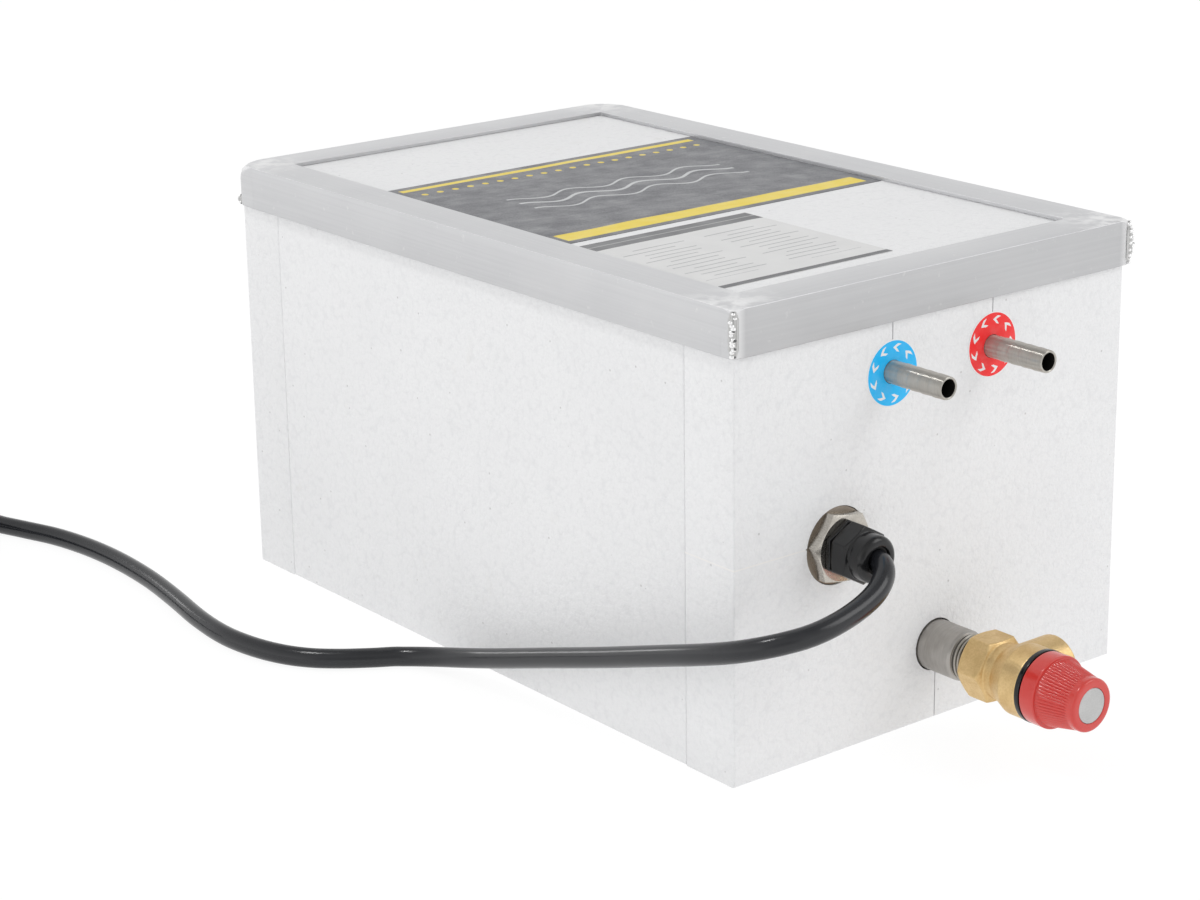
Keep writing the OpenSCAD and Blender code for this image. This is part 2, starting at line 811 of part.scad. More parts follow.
module valve_body() {
    color("darkgoldenrod") on_relief() difference() {
        union() {
            hex_bar(valve_af, valve_start, hex_front, 1.4);
            rotate_extrude()
                polygon([
                    [0, hex_front - 1], [valve_waist_d / 2, hex_front - 1], [valve_waist_d / 2, waist_end],
                    [valve_body_d / 2, flare_end], [valve_body_d / 2, body_front], [0, body_front]
                ]);
            translate([0, 0, outlet_at]) rotate([0, 90, 0]) {
                bar(outlet_d, 0, outlet_reach - 0.8);
                bar(outlet_d - 1.6, 0, outlet_reach);
            }
        }
        rotate_extrude()
            polygon([
                [0, valve_start - 1], [inlet_bore_d / 2, valve_start - 1], [inlet_bore_d / 2, inlet_end],
                [seat_bore_d / 2, inlet_end], [seat_bore_d / 2, seat_lip], [seat_bore_d / 2 + 1.3, seat_lip],
                [seat_bore_d / 2 + 1.3, chamber_back], [valve_chamber_d / 2, chamber_back],
                [valve_chamber_d / 2, body_front - bonnet_l], [bonnet_bore_d / 2, body_front - bonnet_l],
                [bonnet_bore_d / 2, body_front + 1], [0, body_front + 1]
            ]);
        translate([0, 0, outlet_at]) rotate([0, 90, 0]) {
            bar(outlet_bore_d, outlet_reach - outlet_bore_l, outlet_reach + 1);
            bar(outlet_bore_d - 7, 0, outlet_reach);
        }
    }
}

// One tooth of the lifting cam, between two angles, with its lower and upper faces at a steady slope
module cam_tooth(first, last, low_first, low_last, high_first, high_last) {
    steps = 8;
    sections = [
        for (i = [0 : steps])
            let (t = i / steps, a = first + (last - first) * t, c = [cos(a), sin(a)],
                low = low_first + (low_last - low_first) * t, high = high_first + (high_last - high_first) * t)
                each [
                    [cam_inner_r * c.x, cam_inner_r * c.y, low], [cam_outer_r * c.x, cam_outer_r * c.y, low],
                    [cam_outer_r * c.x, cam_outer_r * c.y, high], [cam_inner_r * c.x, cam_inner_r * c.y, high]
                ]
    ];
    sides = [
        for (i = [0 : steps - 1], k = [0 : 3])
            let (a = 4 * i + k, b = 4 * i + (k + 1) % 4)
                each [[a, b, a + 4], [b, b + 4, a + 4]]
    ];
    end = 4 * steps;
    polyhedron(sections, concat(sides, [[0, 3, 2], [0, 2, 1], [end, end + 1, end + 2], [end, end + 2, end + 3]]));
}

module valve_bonnet() {
    groove_low = bonnet_roof + 0.7;
    groove_high = cam_base - 0.7;
    guide_r = spindle_d / 2 + running_gap;
    color("black") on_relief() {
        rotate_extrude()
            polygon([
                [spring_bore_d / 2, body_front - bonnet_l + thread_gap],
                [bonnet_bore_d / 2 - thread_gap, body_front - bonnet_l + thread_gap],
                [bonnet_bore_d / 2 - thread_gap, body_front], [valve_body_d / 2 + 0.2, body_front],
                [valve_body_d / 2 + 0.2, rim_front], [bonnet_neck_d / 2, rim_front],
                [bonnet_neck_d / 2, cam_base], [guide_r, cam_base], [guide_r, groove_high],
                [guide_r + 1.7, groove_high], [guide_r + 1.7, groove_low], [guide_r, groove_low],
                [guide_r, bonnet_roof], [spring_bore_d / 2, bonnet_roof]
            ]);
        for (i = [0 : cam_teeth - 1])
            rotate(i * cam_pitch)
                cam_tooth(0, cam_pitch - 0.5, cam_base - 0.5, cam_base - 0.5, cam_base, cam_base + cam_rise);
    }
}

module spindle_seal() {
    ring_r = 0.7;
    color("dimgray") on_relief() translate([0, 0, (bonnet_roof + cam_base) / 2])
        rotate_extrude() translate([spindle_d / 2 + running_gap + ring_r + 0.05, 0]) circle(ring_r);
}

module valve_spindle() {
    color("goldenrod") on_relief() difference() {
        union() {
            bar(carrier_d, carrier_back - 1.2, carrier_front);
            bar(spindle_d, carrier_front - 1, nut_back);
            bar(spindle_d - 1, nut_back - 1, nut_back + nut_l + 1);
        }
        bar(carrier_d - 1.6, carrier_back - 2, carrier_back);
    }
}

module valve_seat_disc() {
    color("dimgray") on_relief() bar(carrier_d - 1.6 - 2 * thread_gap, disc_back, carrier_back);
}

module valve_spring() {
    color("gainsboro") on_relief() tube(spring_path, spring_wire, 6);
}

// Points of a fluted outline: ridge, valley, ridge and so on
function fluted(r, depth) = [
    for (i = [0 : 2 * flutes - 1])
        (r - (i % 2) * depth) * [cos(180 * i / flutes), sin(180 * i / flutes)]
];

module valve_knob() {
    foot_r = 1;
    end_r = knob_end_l / 2;
    core_gap = flute_depth + 0.4;
    tooth_low = cam_base + moving_gap;
    slack_rise = cam_rise * cam_slack / cam_pitch;
    color("red") on_relief() difference() {
        union() {
            // Foot ring with a rounded front edge
            bar(knob_d, knob_start, foot_front - foot_r);
            bar(knob_d - 2 * foot_r, knob_start, foot_front);
            rotate_extrude() translate([knob_d / 2 - foot_r, foot_front - foot_r]) circle(foot_r);
            // Smooth core under the flutes
            translate([0, 0, foot_front - 1])
                cylinder(
                    d1 = cone_foot_d - 2 * core_gap, d2 = cone_end_d - 2 * core_gap, h = knob_cone_l + 2
                );
            translate([0, 0, foot_front - 0.5])
                linear_extrude(knob_cone_l + 1, scale = cone_end_d / cone_foot_d)
                    polygon(fluted(cone_foot_d / 2, flute_depth));
            // Smooth ring round the end
            bar(cone_end_d - 2 * end_r, cone_front, knob_front);
            rotate_extrude() translate([cone_end_d / 2 - end_r, cone_front + end_r]) circle(end_r);
        }
        difference() {
            bar(bonnet_neck_d + 2 * moving_gap + 0.4, knob_start - 1, knob_roof);
            for (i = [0 : cam_teeth - 1])
                rotate(i * cam_pitch)
                    cam_tooth(
                        cam_slack, cam_pitch - 0.5, tooth_low + slack_rise, tooth_low + cam_rise,
                        knob_roof + 0.5, knob_roof + 0.5
                    );
        }
        bar(spindle_d + 2 * running_gap, knob_start, hub_front + 1);
        bar(insert_d - 2, hub_front, insert_back + 1);
        bar(insert_d + 2 * thread_gap, insert_back, knob_front + 1);
    }
}

module knob_insert() {
    color("gainsboro") on_relief() bar(insert_d, insert_back, knob_front - 0.1);
}

module spindle_nut() {
    color("silver") on_relief() difference() {
        hex_bar(nut_af, nut_back, nut_back + nut_l, 0.5);
        bar(spindle_d - 1 + 2 * running_gap, nut_back - 1, nut_back + nut_l + 1);
    }
}

// Supply lead

module cord_free() {
    color("black") tube(lead_path, cord_d, lead_sides);
}

module cord_coil() {
    color("black") tube(coil_path, cord_d, coil_sides);
}

// Strap round the two strands of the coil, three quarters of a turn from its start
module coil_tie() {
    tie_turn = 0.75;
    low_r = coil_radius(tie_turn);
    high_r = coil_radius(tie_turn + 1);
    inner_w = abs(high_r - low_r) + cord_d + 1;
    inner_h = coil_rise + cord_d + 0.8;
    a = coil_first_angle + 360 * tie_turn;
    color("dimgray")
        translate([
            coil_centre.x + (low_r + high_r) / 2 * cos(a), coil_centre.y + (low_r + high_r) / 2 * sin(a),
            tie_t + inner_h / 2
        ])
            rotate([90, 0, a]) linear_extrude(tie_w, center = true) difference() {
                rounded_rect(inner_w + 2 * tie_t, inner_h + 2 * tie_t, 3);
                rounded_rect(inner_w, inner_h, 3 - tie_t);
            }
}

// Puts the plug at the end of the coil, lying on the rim of its face
module on_plug() {
    translate(plug_entry) rotate([90, 0, 0]) children();
}

module at_plug_pins() {
    for (side = [-1, 1])
        translate([side * plug_pin_pitch / 2, 0, 0]) children();
}

// Places of the two earth clips, above and below the pins, with the rim of the face along Y
module at_plug_clips() {
    for (turn = [0, 180])
        rotate(turn) translate([0, plug_d / 2 - plug_notch_depth, 0]) children();
}

plug_socket_l = 10;

module plug_body() {
    rim_r = 1.5;
    color("black") on_plug() difference() {
        union() {
            rotate_extrude()
                polygon([
                    [0, 0], [cord_d / 2 + 1.4, 0], [cord_d / 2 + 3, plug_sleeve_l], [plug_d / 2 - 6, plug_waist_at],
                    [plug_d / 2 - 5, plug_face_back - 4], [plug_d / 2 - rim_r, plug_face_back],
                    [plug_d / 2 - rim_r, plug_face_front], [0, plug_face_front]
                ]);
            bar(plug_d, plug_face_back + rim_r, plug_face_front - rim_r);
            for (z = [plug_face_back + rim_r, plug_face_front - rim_r])
                rotate_extrude() translate([plug_d / 2 - rim_r, z]) circle(rim_r);
        }
        at_plug_pins() bar(plug_pin_d + 2 * thread_gap, plug_face_front - plug_socket_l, plug_face_front + 1);
        at_plug_clips() translate([-plug_notch_w / 2, 0, plug_face_back - 8])
            cube([plug_notch_w, 2 * plug_notch_depth, 30]);
    }
}

module plug_pins() {
    color("silver") on_plug() at_plug_pins() {
        bar(plug_pin_d, plug_face_front - plug_socket_l, plug_face_front + plug_pin_l - plug_pin_d / 2);
        translate([0, 0, plug_face_front + plug_pin_l - plug_pin_d / 2]) sphere(d = plug_pin_d);
    }
}

module plug_earth_clips() {
    color("gold") on_plug() at_plug_clips()
        translate([-plug_notch_w / 2 + 1, 0, plug_face_back - 2])
            cube([plug_notch_w - 2, clip_t, plug_face_front - plug_face_back + 2]);
}

front_panel();
back_panel();
left_panel();
right_panel();
top_panel();
bottom_panel();
frame_rail_front();
frame_rail_back();
frame_rail_left();
frame_rail_right();
corner_welds();
top_label();
data_label();
cold_ring_label();
hot_ring_label();
tank_shell();
tank_front_end();
tank_rear_end();
cold_pipe();
hot_pipe();
relief_pipe();
heater_socket();
heater_gasket();
heater_head();
heater_element();
thermostat_probe();
thermostat();
gland_body();
gland_seal();
gland_nut();
cable_tail();
valve_body();
valve_bonnet();
spindle_seal();
valve_spindle();
valve_seat_disc();
valve_spring();
valve_knob();
knob_insert();
spindle_nut();
cord_free();
cord_coil();
coil_tie();
plug_body();
plug_pins();
plug_earth_clips();
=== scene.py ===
"""Looks of a caravan water heater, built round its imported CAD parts.

Lengths are in metres, in the frame of the CAD model: the face with the fittings looks along -Y,
+X is to its right, and Z = 0 is the floor that the heater stands on.
"""

import json
import logging
import math
from dataclasses import dataclass
from enum import Enum
from typing import Optional, Sequence, Union

import bmesh
import bpy
from mathutils import Matrix, Vector, noise

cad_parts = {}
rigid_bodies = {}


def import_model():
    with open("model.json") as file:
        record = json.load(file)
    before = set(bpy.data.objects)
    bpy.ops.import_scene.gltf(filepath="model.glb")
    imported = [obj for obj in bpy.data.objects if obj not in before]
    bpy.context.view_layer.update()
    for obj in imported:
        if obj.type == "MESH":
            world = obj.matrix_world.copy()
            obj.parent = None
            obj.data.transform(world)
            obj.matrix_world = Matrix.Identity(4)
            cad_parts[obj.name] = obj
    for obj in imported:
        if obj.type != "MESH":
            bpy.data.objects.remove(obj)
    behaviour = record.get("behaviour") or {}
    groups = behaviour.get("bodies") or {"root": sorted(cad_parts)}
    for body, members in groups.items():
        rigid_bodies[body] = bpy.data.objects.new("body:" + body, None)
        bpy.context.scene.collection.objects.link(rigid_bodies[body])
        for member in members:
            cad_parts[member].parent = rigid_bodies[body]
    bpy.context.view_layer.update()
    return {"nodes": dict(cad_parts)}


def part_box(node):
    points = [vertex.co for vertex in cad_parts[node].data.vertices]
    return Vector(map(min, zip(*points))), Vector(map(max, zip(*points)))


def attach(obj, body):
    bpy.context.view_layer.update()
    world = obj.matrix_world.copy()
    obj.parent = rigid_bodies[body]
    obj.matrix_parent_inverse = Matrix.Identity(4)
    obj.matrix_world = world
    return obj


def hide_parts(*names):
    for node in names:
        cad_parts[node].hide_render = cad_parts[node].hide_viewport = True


LOG = logging.getLogger("water_heater")
FRONT_Y = -0.178
SHARP = math.radians(38)

Colour = tuple[float, float, float]
Point = tuple[float, float, float]
Socket = bpy.types.NodeSocket
Value = Union[float, int, Sequence[float], Socket]


class Run(Enum):
    """Direction in which a bar or sheet was drawn, as the stretch of its grain along X, Y and Z."""

    ALONG_X = (0.012, 1.0, 1.0)
    ALONG_Y = (1.0, 0.012, 1.0)
    ROUND_Y = (0.12, 1.0, 0.12)
    EVEN = (1.0, 1.0, 1.0)


class Input(Enum):
    """Kind of a named input of a Geometry Nodes recipe."""

    GEOMETRY = "NodeSocketGeometry"
    LENGTH = "NodeSocketFloat"
    COUNT = "NodeSocketInt"
    PLACE = "NodeSocketVector"


class Nodes:
    """A shader node tree under construction."""

    def __init__(self, tree: bpy.types.NodeTree) -> None:
        """Empties the tree.

        Args:
            tree: node tree of a material or of the surround.
        """
        self.tree = tree
        self.tree.nodes.clear()

    def feed(self, socket: Socket, value: Value) -> None:
        """Links a socket to another one, or sets its own value.

        Args:
            socket: input to feed.
            value: output socket, number, vector or colour.
        """
        if isinstance(value, bpy.types.NodeSocket):
            self.tree.links.new(value, socket)
        elif socket.type == "RGBA":
            socket.default_value = (*value, 1.0)
        else:
            socket.default_value = value

    def node(self, kind: str, inputs: dict, **settings: object) -> bpy.types.Node:
        """Adds a shader node.

        Args:
            kind: node type without its prefix.
            inputs: values by input name or index.
            settings: properties of the node.

        Returns:
            The new node.
        """
        made = self.tree.nodes.new("ShaderNode" + kind)
        for name, value in settings.items():
            setattr(made, name, value)
        for key, value in inputs.items():
            self.feed(made.inputs[key], value)
        return made

    def maths(self, operation: str, *values: Value) -> Socket:
        """Result of a Math node on one to three values."""
        return self.node("Math", dict(enumerate(values)), operation=operation).outputs[0]

    def spread(self, value: Value, low: float, high: float, to_low: Value, to_high: Value) -> Socket:
        """Maps one range of values on another.

        Args:
            value: value to map.
            low: start of the range it comes in.
            high: end of the range it comes in.
            to_low: result at the start.
            to_high: result at the end.

        Returns:
            The mapped value, held inside its new range.
        """
        inputs = {0: value, 1: low, 2: high, 3: to_low, 4: to_high}
        return self.node("MapRange", inputs).outputs[0]


class Graph(Nodes):
    """A node material under construction, with one Principled shader."""

    def __init__(self, name: str) -> None:
        """Makes the material with its shader, its output and its object coordinates.

        Args:
            name: name of the material.
        """
        self.material: bpy.types.Material = bpy.data.materials.new(name)
        self.material.use_nodes = True
        super().__init__(self.material.node_tree)
        self.shader = self.node("BsdfPrincipled", {})
        self.node("OutputMaterial", {"Surface": self.shader.outputs["BSDF"]})
        self.place: Socket = self.node("TexCoord", {}).outputs["Object"]

    def axes(self) -> list[Socket]:
        """X, Y and Z of the object coordinates."""
        return list(self.node("SeparateXYZ", {"Vector": self.place}).outputs)

    def scaled(self, size: float, stretch: Sequence[float], shift: float) -> Socket:
        """Object coordinates in steps of a feature's size.

        Args:
            size: size of the feature.
            stretch: factor along each axis, small where the feature is long.
            shift: offset that gives another part of the pattern.

        Returns:
            The scaled coordinates.
        """
        scale = [part / size for part in stretch]
        inputs = {"Vector": self.place, "Scale": scale, "Location": (shift, shift, shift)}
        return self.node("Mapping", inputs).outputs[0]

    def noise(
        self, size: float, detail: float = 2.0, stretch: Sequence[float] = Run.EVEN.value, shift: float = 0.0
    ) -> Socket:
        """Soft noise, from 0 to 1.

        Args:
            size: size of the largest patches.
            detail: number of finer layers.
            stretch: factor along each axis.
            shift: offset that gives another part of the noise.

        Returns:
            The noise value.
        """
        place = self.scaled(size, stretch, shift)
        return self.node("TexNoise", {"Vector": place, "Scale": 1.0, "Detail": detail}).outputs[0]

    def cells(self, size: float, shift: float = 0.0) -> Socket:
        """Distance from the middles of scattered cells of a given size."""
        place = self.scaled(size, Run.EVEN.value, shift)
        return self.node("TexVoronoi", {"Vector": place, "Scale": 1.0}).outputs["Distance"]

    def mix(self, share: Value, first: Value, second: Value) -> Socket:
        """Colour between two colours; share 1 gives the second."""
        return self.node("Mix", {0: share, 6: first, 7: second}, data_type="RGBA").outputs[2]

    def bump(self, height: Socket, depth: float, under: Optional[Socket] = None) -> Socket:
        """Normal of a surface relief.

        Args:
            height: relief, from 0 to 1.
            depth: height of the relief in metres.
            under: normal of a coarser relief below it.

        Returns:
            The new normal.
        """
        inputs: dict = {"Height": height, "Distance": depth, "Strength": 1.0}
        if under is not None:
            inputs["Normal"] = under
        return self.node("Bump", inputs).outputs[0]

    def shade(self, inputs: dict) -> bpy.types.Material:
        """Feeds the shader and hands out the material.

        Args:
            inputs: values by input name.

        Returns:
            The material.
        """
        for key, value in inputs.items():
            self.feed(self.shader.inputs[key], value)
        return self.material


@dataclass(frozen=True)
class Foam:
    """Expanded bead foam: white beads pressed together, painted shade in the small hollows between them,
    faint smudges.
    """

    name: str = "bead_foam"
    colour: Colour = (0.875, 0.877, 0.884)
    # Grey for random tone and grain specks, and for the painted shade in the hollows between beads.
    pit: Colour = (0.78, 0.783, 0.795)
    smudge: Colour = (0.72, 0.70, 0.665)
    speck: Colour = (0.42, 0.41, 0.40)
    bead: float = 0.0027
    grain: float = 0.0012

    def material(self) -> bpy.types.Material:
        """Builds the foam's material.

        Returns:
            The material.
        """
        graph = Graph(self.name)
        beads = graph.cells(self.bead)
        grain = graph.noise(self.grain, 2.0)
        painted_dark_spots = graph.spread(beads, 0.55, 0.95, 0.0, 1.0)
        patches = graph.noise(0.045, 2.0)
        tone = graph.mix(graph.spread(patches, 0.35, 0.7, 0.0, 0.16), self.colour, self.pit)
        specked = graph.mix(graph.spread(grain, 0.45, 0.75, 0.0, 0.35), tone, self.pit)
        # Painted shade: the hollows between the beads are darkened in the colour.
        pit_shaded = graph.mix(graph.maths("MULTIPLY", painted_dark_spots, 0.5), specked, self.pit)
        dirt = graph.maths("MULTIPLY", graph.noise(0.06, 3.0, shift=7.0), graph.noise(0.010, 3.0, shift=3.0))
        smudged = graph.mix(graph.spread(dirt, 0.37, 0.52, 0.0, 0.3), pit_shaded, self.smudge)
        specks = graph.spread(graph.cells(0.011, 5.0), 0.035, 0.055, 0.5, 0.0)
        relief = graph.bump(graph.maths("SUBTRACT", 1.0, beads), 0.00016)
        return graph.shade({
            "Base Color": graph.mix(specks, smudged, self.speck),
            "Roughness": graph.spread(painted_dark_spots, 0.0, 1.0, 0.62, 0.85),
            "Specular IOR Level": 0.3,
            "Normal": graph.bump(grain, 0.00032, relief),
        })


@dataclass(frozen=True)
class DrawnAluminium:
    """Satin aluminium angle with streaks along its length, sanded patches beside the corner welds and
    painted shade on its upright faces.
    """

    name: str
    run: Run
    colour: Colour = (0.785, 0.788, 0.80)
    streak: Colour = (0.71, 0.713, 0.728)
    sanded: Colour = (0.90, 0.90, 0.902)
    # Share of the colour kept on upright faces: painted shade.
    skirt_shade: float = 1.0
    band: float = 0.0015
    half_width: float = 0.113
    half_length: float = 0.180

    def material(self) -> bpy.types.Material:
        """Builds the aluminium's material.

        Returns:
            The material.
        """
        graph = Graph(self.name)
        x, y, _ = graph.axes()
        facing = graph.node("NewGeometry", {}).outputs["Normal"]
        upward = graph.node("SeparateXYZ", {"Vector": facing}).outputs["Z"]
        streaks = graph.noise(0.0011, 4.0, self.run.value)
        clouds = graph.noise(0.035, 3.0, shift=2.0)
        tone = graph.mix(graph.spread(streaks, 0.3, 0.75, 0.0, 0.35), self.colour, self.streak)
        worn = graph.mix(graph.spread(clouds, 0.35, 0.75, 0.0, 0.25), tone, self.sanded)
        beside = graph.maths("SUBTRACT", self.half_width, graph.maths("ABSOLUTE", x))
        before = graph.maths("SUBTRACT", self.half_length, graph.maths("ABSOLUTE", y))
        tip = graph.maths("MAXIMUM", beside, before)
        mottle = graph.spread(graph.noise(0.0055, 5.0, shift=9.0), 0.42, 0.58, 0.0, 1.0)
        flat = graph.spread(upward, 0.25, 0.85, 0.0, 1.0)
        worked = graph.maths("MULTIPLY", graph.spread(tip, 0.009, 0.034, 1.0, 0.0), flat)
        patch = graph.maths("MULTIPLY", worked, mottle)
        seam = graph.maths("ABSOLUTE", graph.maths("SUBTRACT", beside, before))
        uneven = graph.spread(graph.noise(0.003, 3.0, shift=5.0), 0.35, 0.6, 0.2, 0.9)
        mitre = graph.maths("MULTIPLY", graph.spread(seam, 0.0004, 0.0020, 1.0, 0.0), uneven)
        band = graph.spread(tip, 0.5 * self.band, self.band, 0.6, 0.0)
        halo = graph.maths("MAXIMUM", graph.maths("MAXIMUM", patch, mitre), band)
        scuffs = graph.spread(graph.noise(0.0035, 5.0, shift=4.0), 0.66, 0.74, 0.0, 0.6)
        # Painted shade: upright faces darker than the flat top.
        side_shade = graph.spread(flat, 0.0, 1.0, self.skirt_shade, 1.0)
        scuffed = graph.mix(scuffs, worn, self.sanded)
        scuffed_and_side_shaded = graph.node("VectorMath", {0: scuffed, "Scale": side_shade}, operation="SCALE")
        relief = graph.bump(graph.noise(0.018, 2.0, shift=6.0), 0.00008)
        rough = graph.spread(streaks, 0.2, 0.8, 0.50, 0.60)
        return graph.shade({
            "Base Color": graph.mix(halo, scuffed_and_side_shaded.outputs[0], self.sanded),
            "Metallic": graph.spread(halo, 0.0, 1.0, 1.0, 0.35),
            "Roughness": graph.maths("ADD", rough, graph.maths("MULTIPLY", halo, 0.16)),
            "Normal": graph.bump(streaks, 0.00002, relief),
        })


@dataclass(frozen=True)
class Metal:
    """Turned, brushed, cast or plated metal with a grain, tarnish and uneven gloss."""

    name: str
    colour: Colour
    tarnish: Colour
    roughness: float
    grain: float = 0.0008
    run: Run = Run.EVEN
    depth: float = 0.00002
    stain: float = 0.4
    smear: float = 0.0

    def material(self) -> bpy.types.Material:
        """Builds the metal's material; smear draws its highlights out along Y.

        Returns:
            The material.
        """
        graph = Graph(self.name)
        way = graph.node("CombineXYZ", {"Y": 1.0}).outputs[0]
        grain = graph.noise(self.grain, 3.0, self.run.value)
        stains = graph.noise(0.008, 4.0, shift=1.5)
        share = graph.spread(stains, 0.35, 0.75, 0.0, self.stain)
        tone = graph.mix(share, self.colour, self.tarnish)
        lined = graph.mix(graph.spread(grain, 0.35, 0.8, 0.0, 0.45), tone, self.tarnish)
        rough = graph.spread(grain, 0.2, 0.8, 0.8 * self.roughness, 1.25 * self.roughness)
        return graph.shade({
            "Base Color": lined,
            "Metallic": 1.0,
            "Anisotropic": self.smear,
            "Tangent": way,
            "Roughness": graph.maths("ADD", rough, graph.maths("MULTIPLY", share, 0.12)),
            "Normal": graph.bump(grain, self.depth),
        })


@dataclass(frozen=True)
class Moulding:
    """Moulded plastic, rubber or ceramic with a fine skin and slightly uneven gloss."""

    name: str
    colour: Colour
    worn: Colour
    roughness: float
    skin: float = 0.0007
    depth: float = 0.00002
    scuff: float = 0.25
    coat: float = 0.0
    shine: float = 0.5

    def material(self) -> bpy.types.Material:
        """Builds the moulding's material.

        Returns:
            The material.
        """
        graph = Graph(self.name)
        skin = graph.noise(self.skin, 3.0)
        clouds = graph.noise(0.012, 4.0, shift=2.5)
        tone = graph.mix(graph.spread(clouds, 0.4, 0.75, 0.0, self.scuff), self.colour, self.worn)
        marks = graph.spread(graph.noise(0.002, 5.0, shift=8.0), 0.68, 0.78, 0.0, self.scuff)
        return graph.shade({
            "Base Color": graph.mix(marks, tone, self.worn),
            "Roughness": graph.spread(clouds, 0.3, 0.75, 0.85 * self.roughness, 1.2 * self.roughness),
            "Specular IOR Level": self.shine,
            "Coat Weight": self.coat,
            "Coat Roughness": 0.12,
            "Normal": graph.bump(skin, self.depth),
        })


@dataclass(frozen=True)
class Webbing:
    """Woven strap with a ribbed weave and a soft nap."""

    name: str = "woven_strap"
    colour: Colour = (0.030, 0.031, 0.034)
    raised: Colour = (0.075, 0.077, 0.082)
    rib: float = 0.0009

    def material(self) -> bpy.types.Material:
        """Builds the strap's material on the UV map that follows it, in metres.

        Returns:
            The material.
        """
        graph = Graph(self.name)
        cloth = graph.node("UVMap", {}, uv_map="strap").outputs[0]
        along, across, _ = graph.node("SeparateXYZ", {"Vector": cloth}).outputs
        warp = graph.maths("SINE", graph.maths("MULTIPLY", along, math.tau / self.rib))
        weft = graph.maths("SINE", graph.maths("MULTIPLY", across, math.tau / self.rib))
        weave = graph.spread(graph.maths("MULTIPLY", warp, weft), -1.0, 1.0, 0.0, 1.0)
        fuzz = graph.noise(0.0004, 3.0)
        mixed = graph.maths("MULTIPLY", weave, fuzz)
        return graph.shade({
            "Base Color": graph.mix(graph.spread(mixed, 0.1, 0.6, 0.0, 1.0), self.colour, self.raised),
            "Roughness": 0.9,
            "Sheen Weight": 0.25,
            "Normal": graph.bump(weave, 0.00018),
        })


@dataclass(frozen=True)
class PanelPrint:
    """Dark film with yellow bands, light ripple lines and a row of dots."""

    name: str = "panel_print"
    field: Colour = (0.082, 0.084, 0.098)
    band: Colour = (0.86, 0.66, 0.04)
    line: Colour = (0.55, 0.56, 0.57)
    half_width: float = 0.0865
    front_band: float = -0.0385
    back_band: float = 0.0805
    dots_at: float = 0.0695
    dot_pitch: float = 0.0085
    dot: float = 0.0016
    wave_length: float = 0.034
    wave_height: float = 0.0035

    def material(self) -> bpy.types.Material:
        """Builds the print.

        Returns:
            The material.
        """
        graph = Graph(self.name)
        x, y, _ = graph.axes()
        span = graph.maths("COMPARE", x, 0.0, self.half_width)
        wide = graph.maths("COMPARE", y, self.front_band, 0.0055)
        thin = graph.maths("COMPARE", y, self.back_band, 0.0022)
        bands = graph.maths("MULTIPLY", graph.maths("MAXIMUM", wide, thin), span)
        step = graph.maths("SUBTRACT", graph.maths("FLOORED_MODULO", x, self.dot_pitch), self.dot_pitch / 2)
        rise = graph.maths("SUBTRACT", y, self.dots_at)
        squares = graph.maths("ADD", graph.maths("POWER", step, 2.0), graph.maths("POWER", rise, 2.0))
        far = graph.maths("SQRT", squares)
        dots = graph.maths("MULTIPLY", graph.maths("LESS_THAN", far, self.dot), span)
        phase = graph.maths("MULTIPLY", x, math.tau / self.wave_length)
        wave = graph.maths("MULTIPLY", graph.maths("SINE", phase), self.wave_height)
        level = graph.maths("SUBTRACT", y, wave)
        lines: Socket = graph.maths("COMPARE", level, 0.022, 0.0011)
        for at, half in ((0.011, 0.0008), (0.032, 0.0008)):
            lines = graph.maths("MAXIMUM", lines, graph.maths("COMPARE", level, at, half))
        lines = graph.maths("MULTIPLY", lines, graph.maths("COMPARE", x, 0.0, 0.060))
        mottle = graph.spread(graph.noise(0.0006, 2.0), 0.3, 0.8, 0.0, 0.25)
        mottled = graph.mix(mottle, self.field, self.line)
        worn = graph.mix(graph.spread(graph.noise(0.014, 4.0), 0.45, 0.8, 0.0, 0.18), mottled, self.line)
        painted = graph.mix(graph.maths("MAXIMUM", bands, dots), worn, self.band)
        creases = graph.bump(graph.noise(0.016, 3.0, (0.5, 1.2, 1.0), 3.0), 0.0009)
        return graph.shade({
            "Base Color": graph.mix(lines, painted, self.line),
            "Roughness": graph.spread(graph.noise(0.01, 3.0, shift=6.0), 0.3, 0.7, 0.30, 0.44),
            "Normal": graph.bump(graph.noise(0.0009, 2.0), 0.00002, creases),
        })


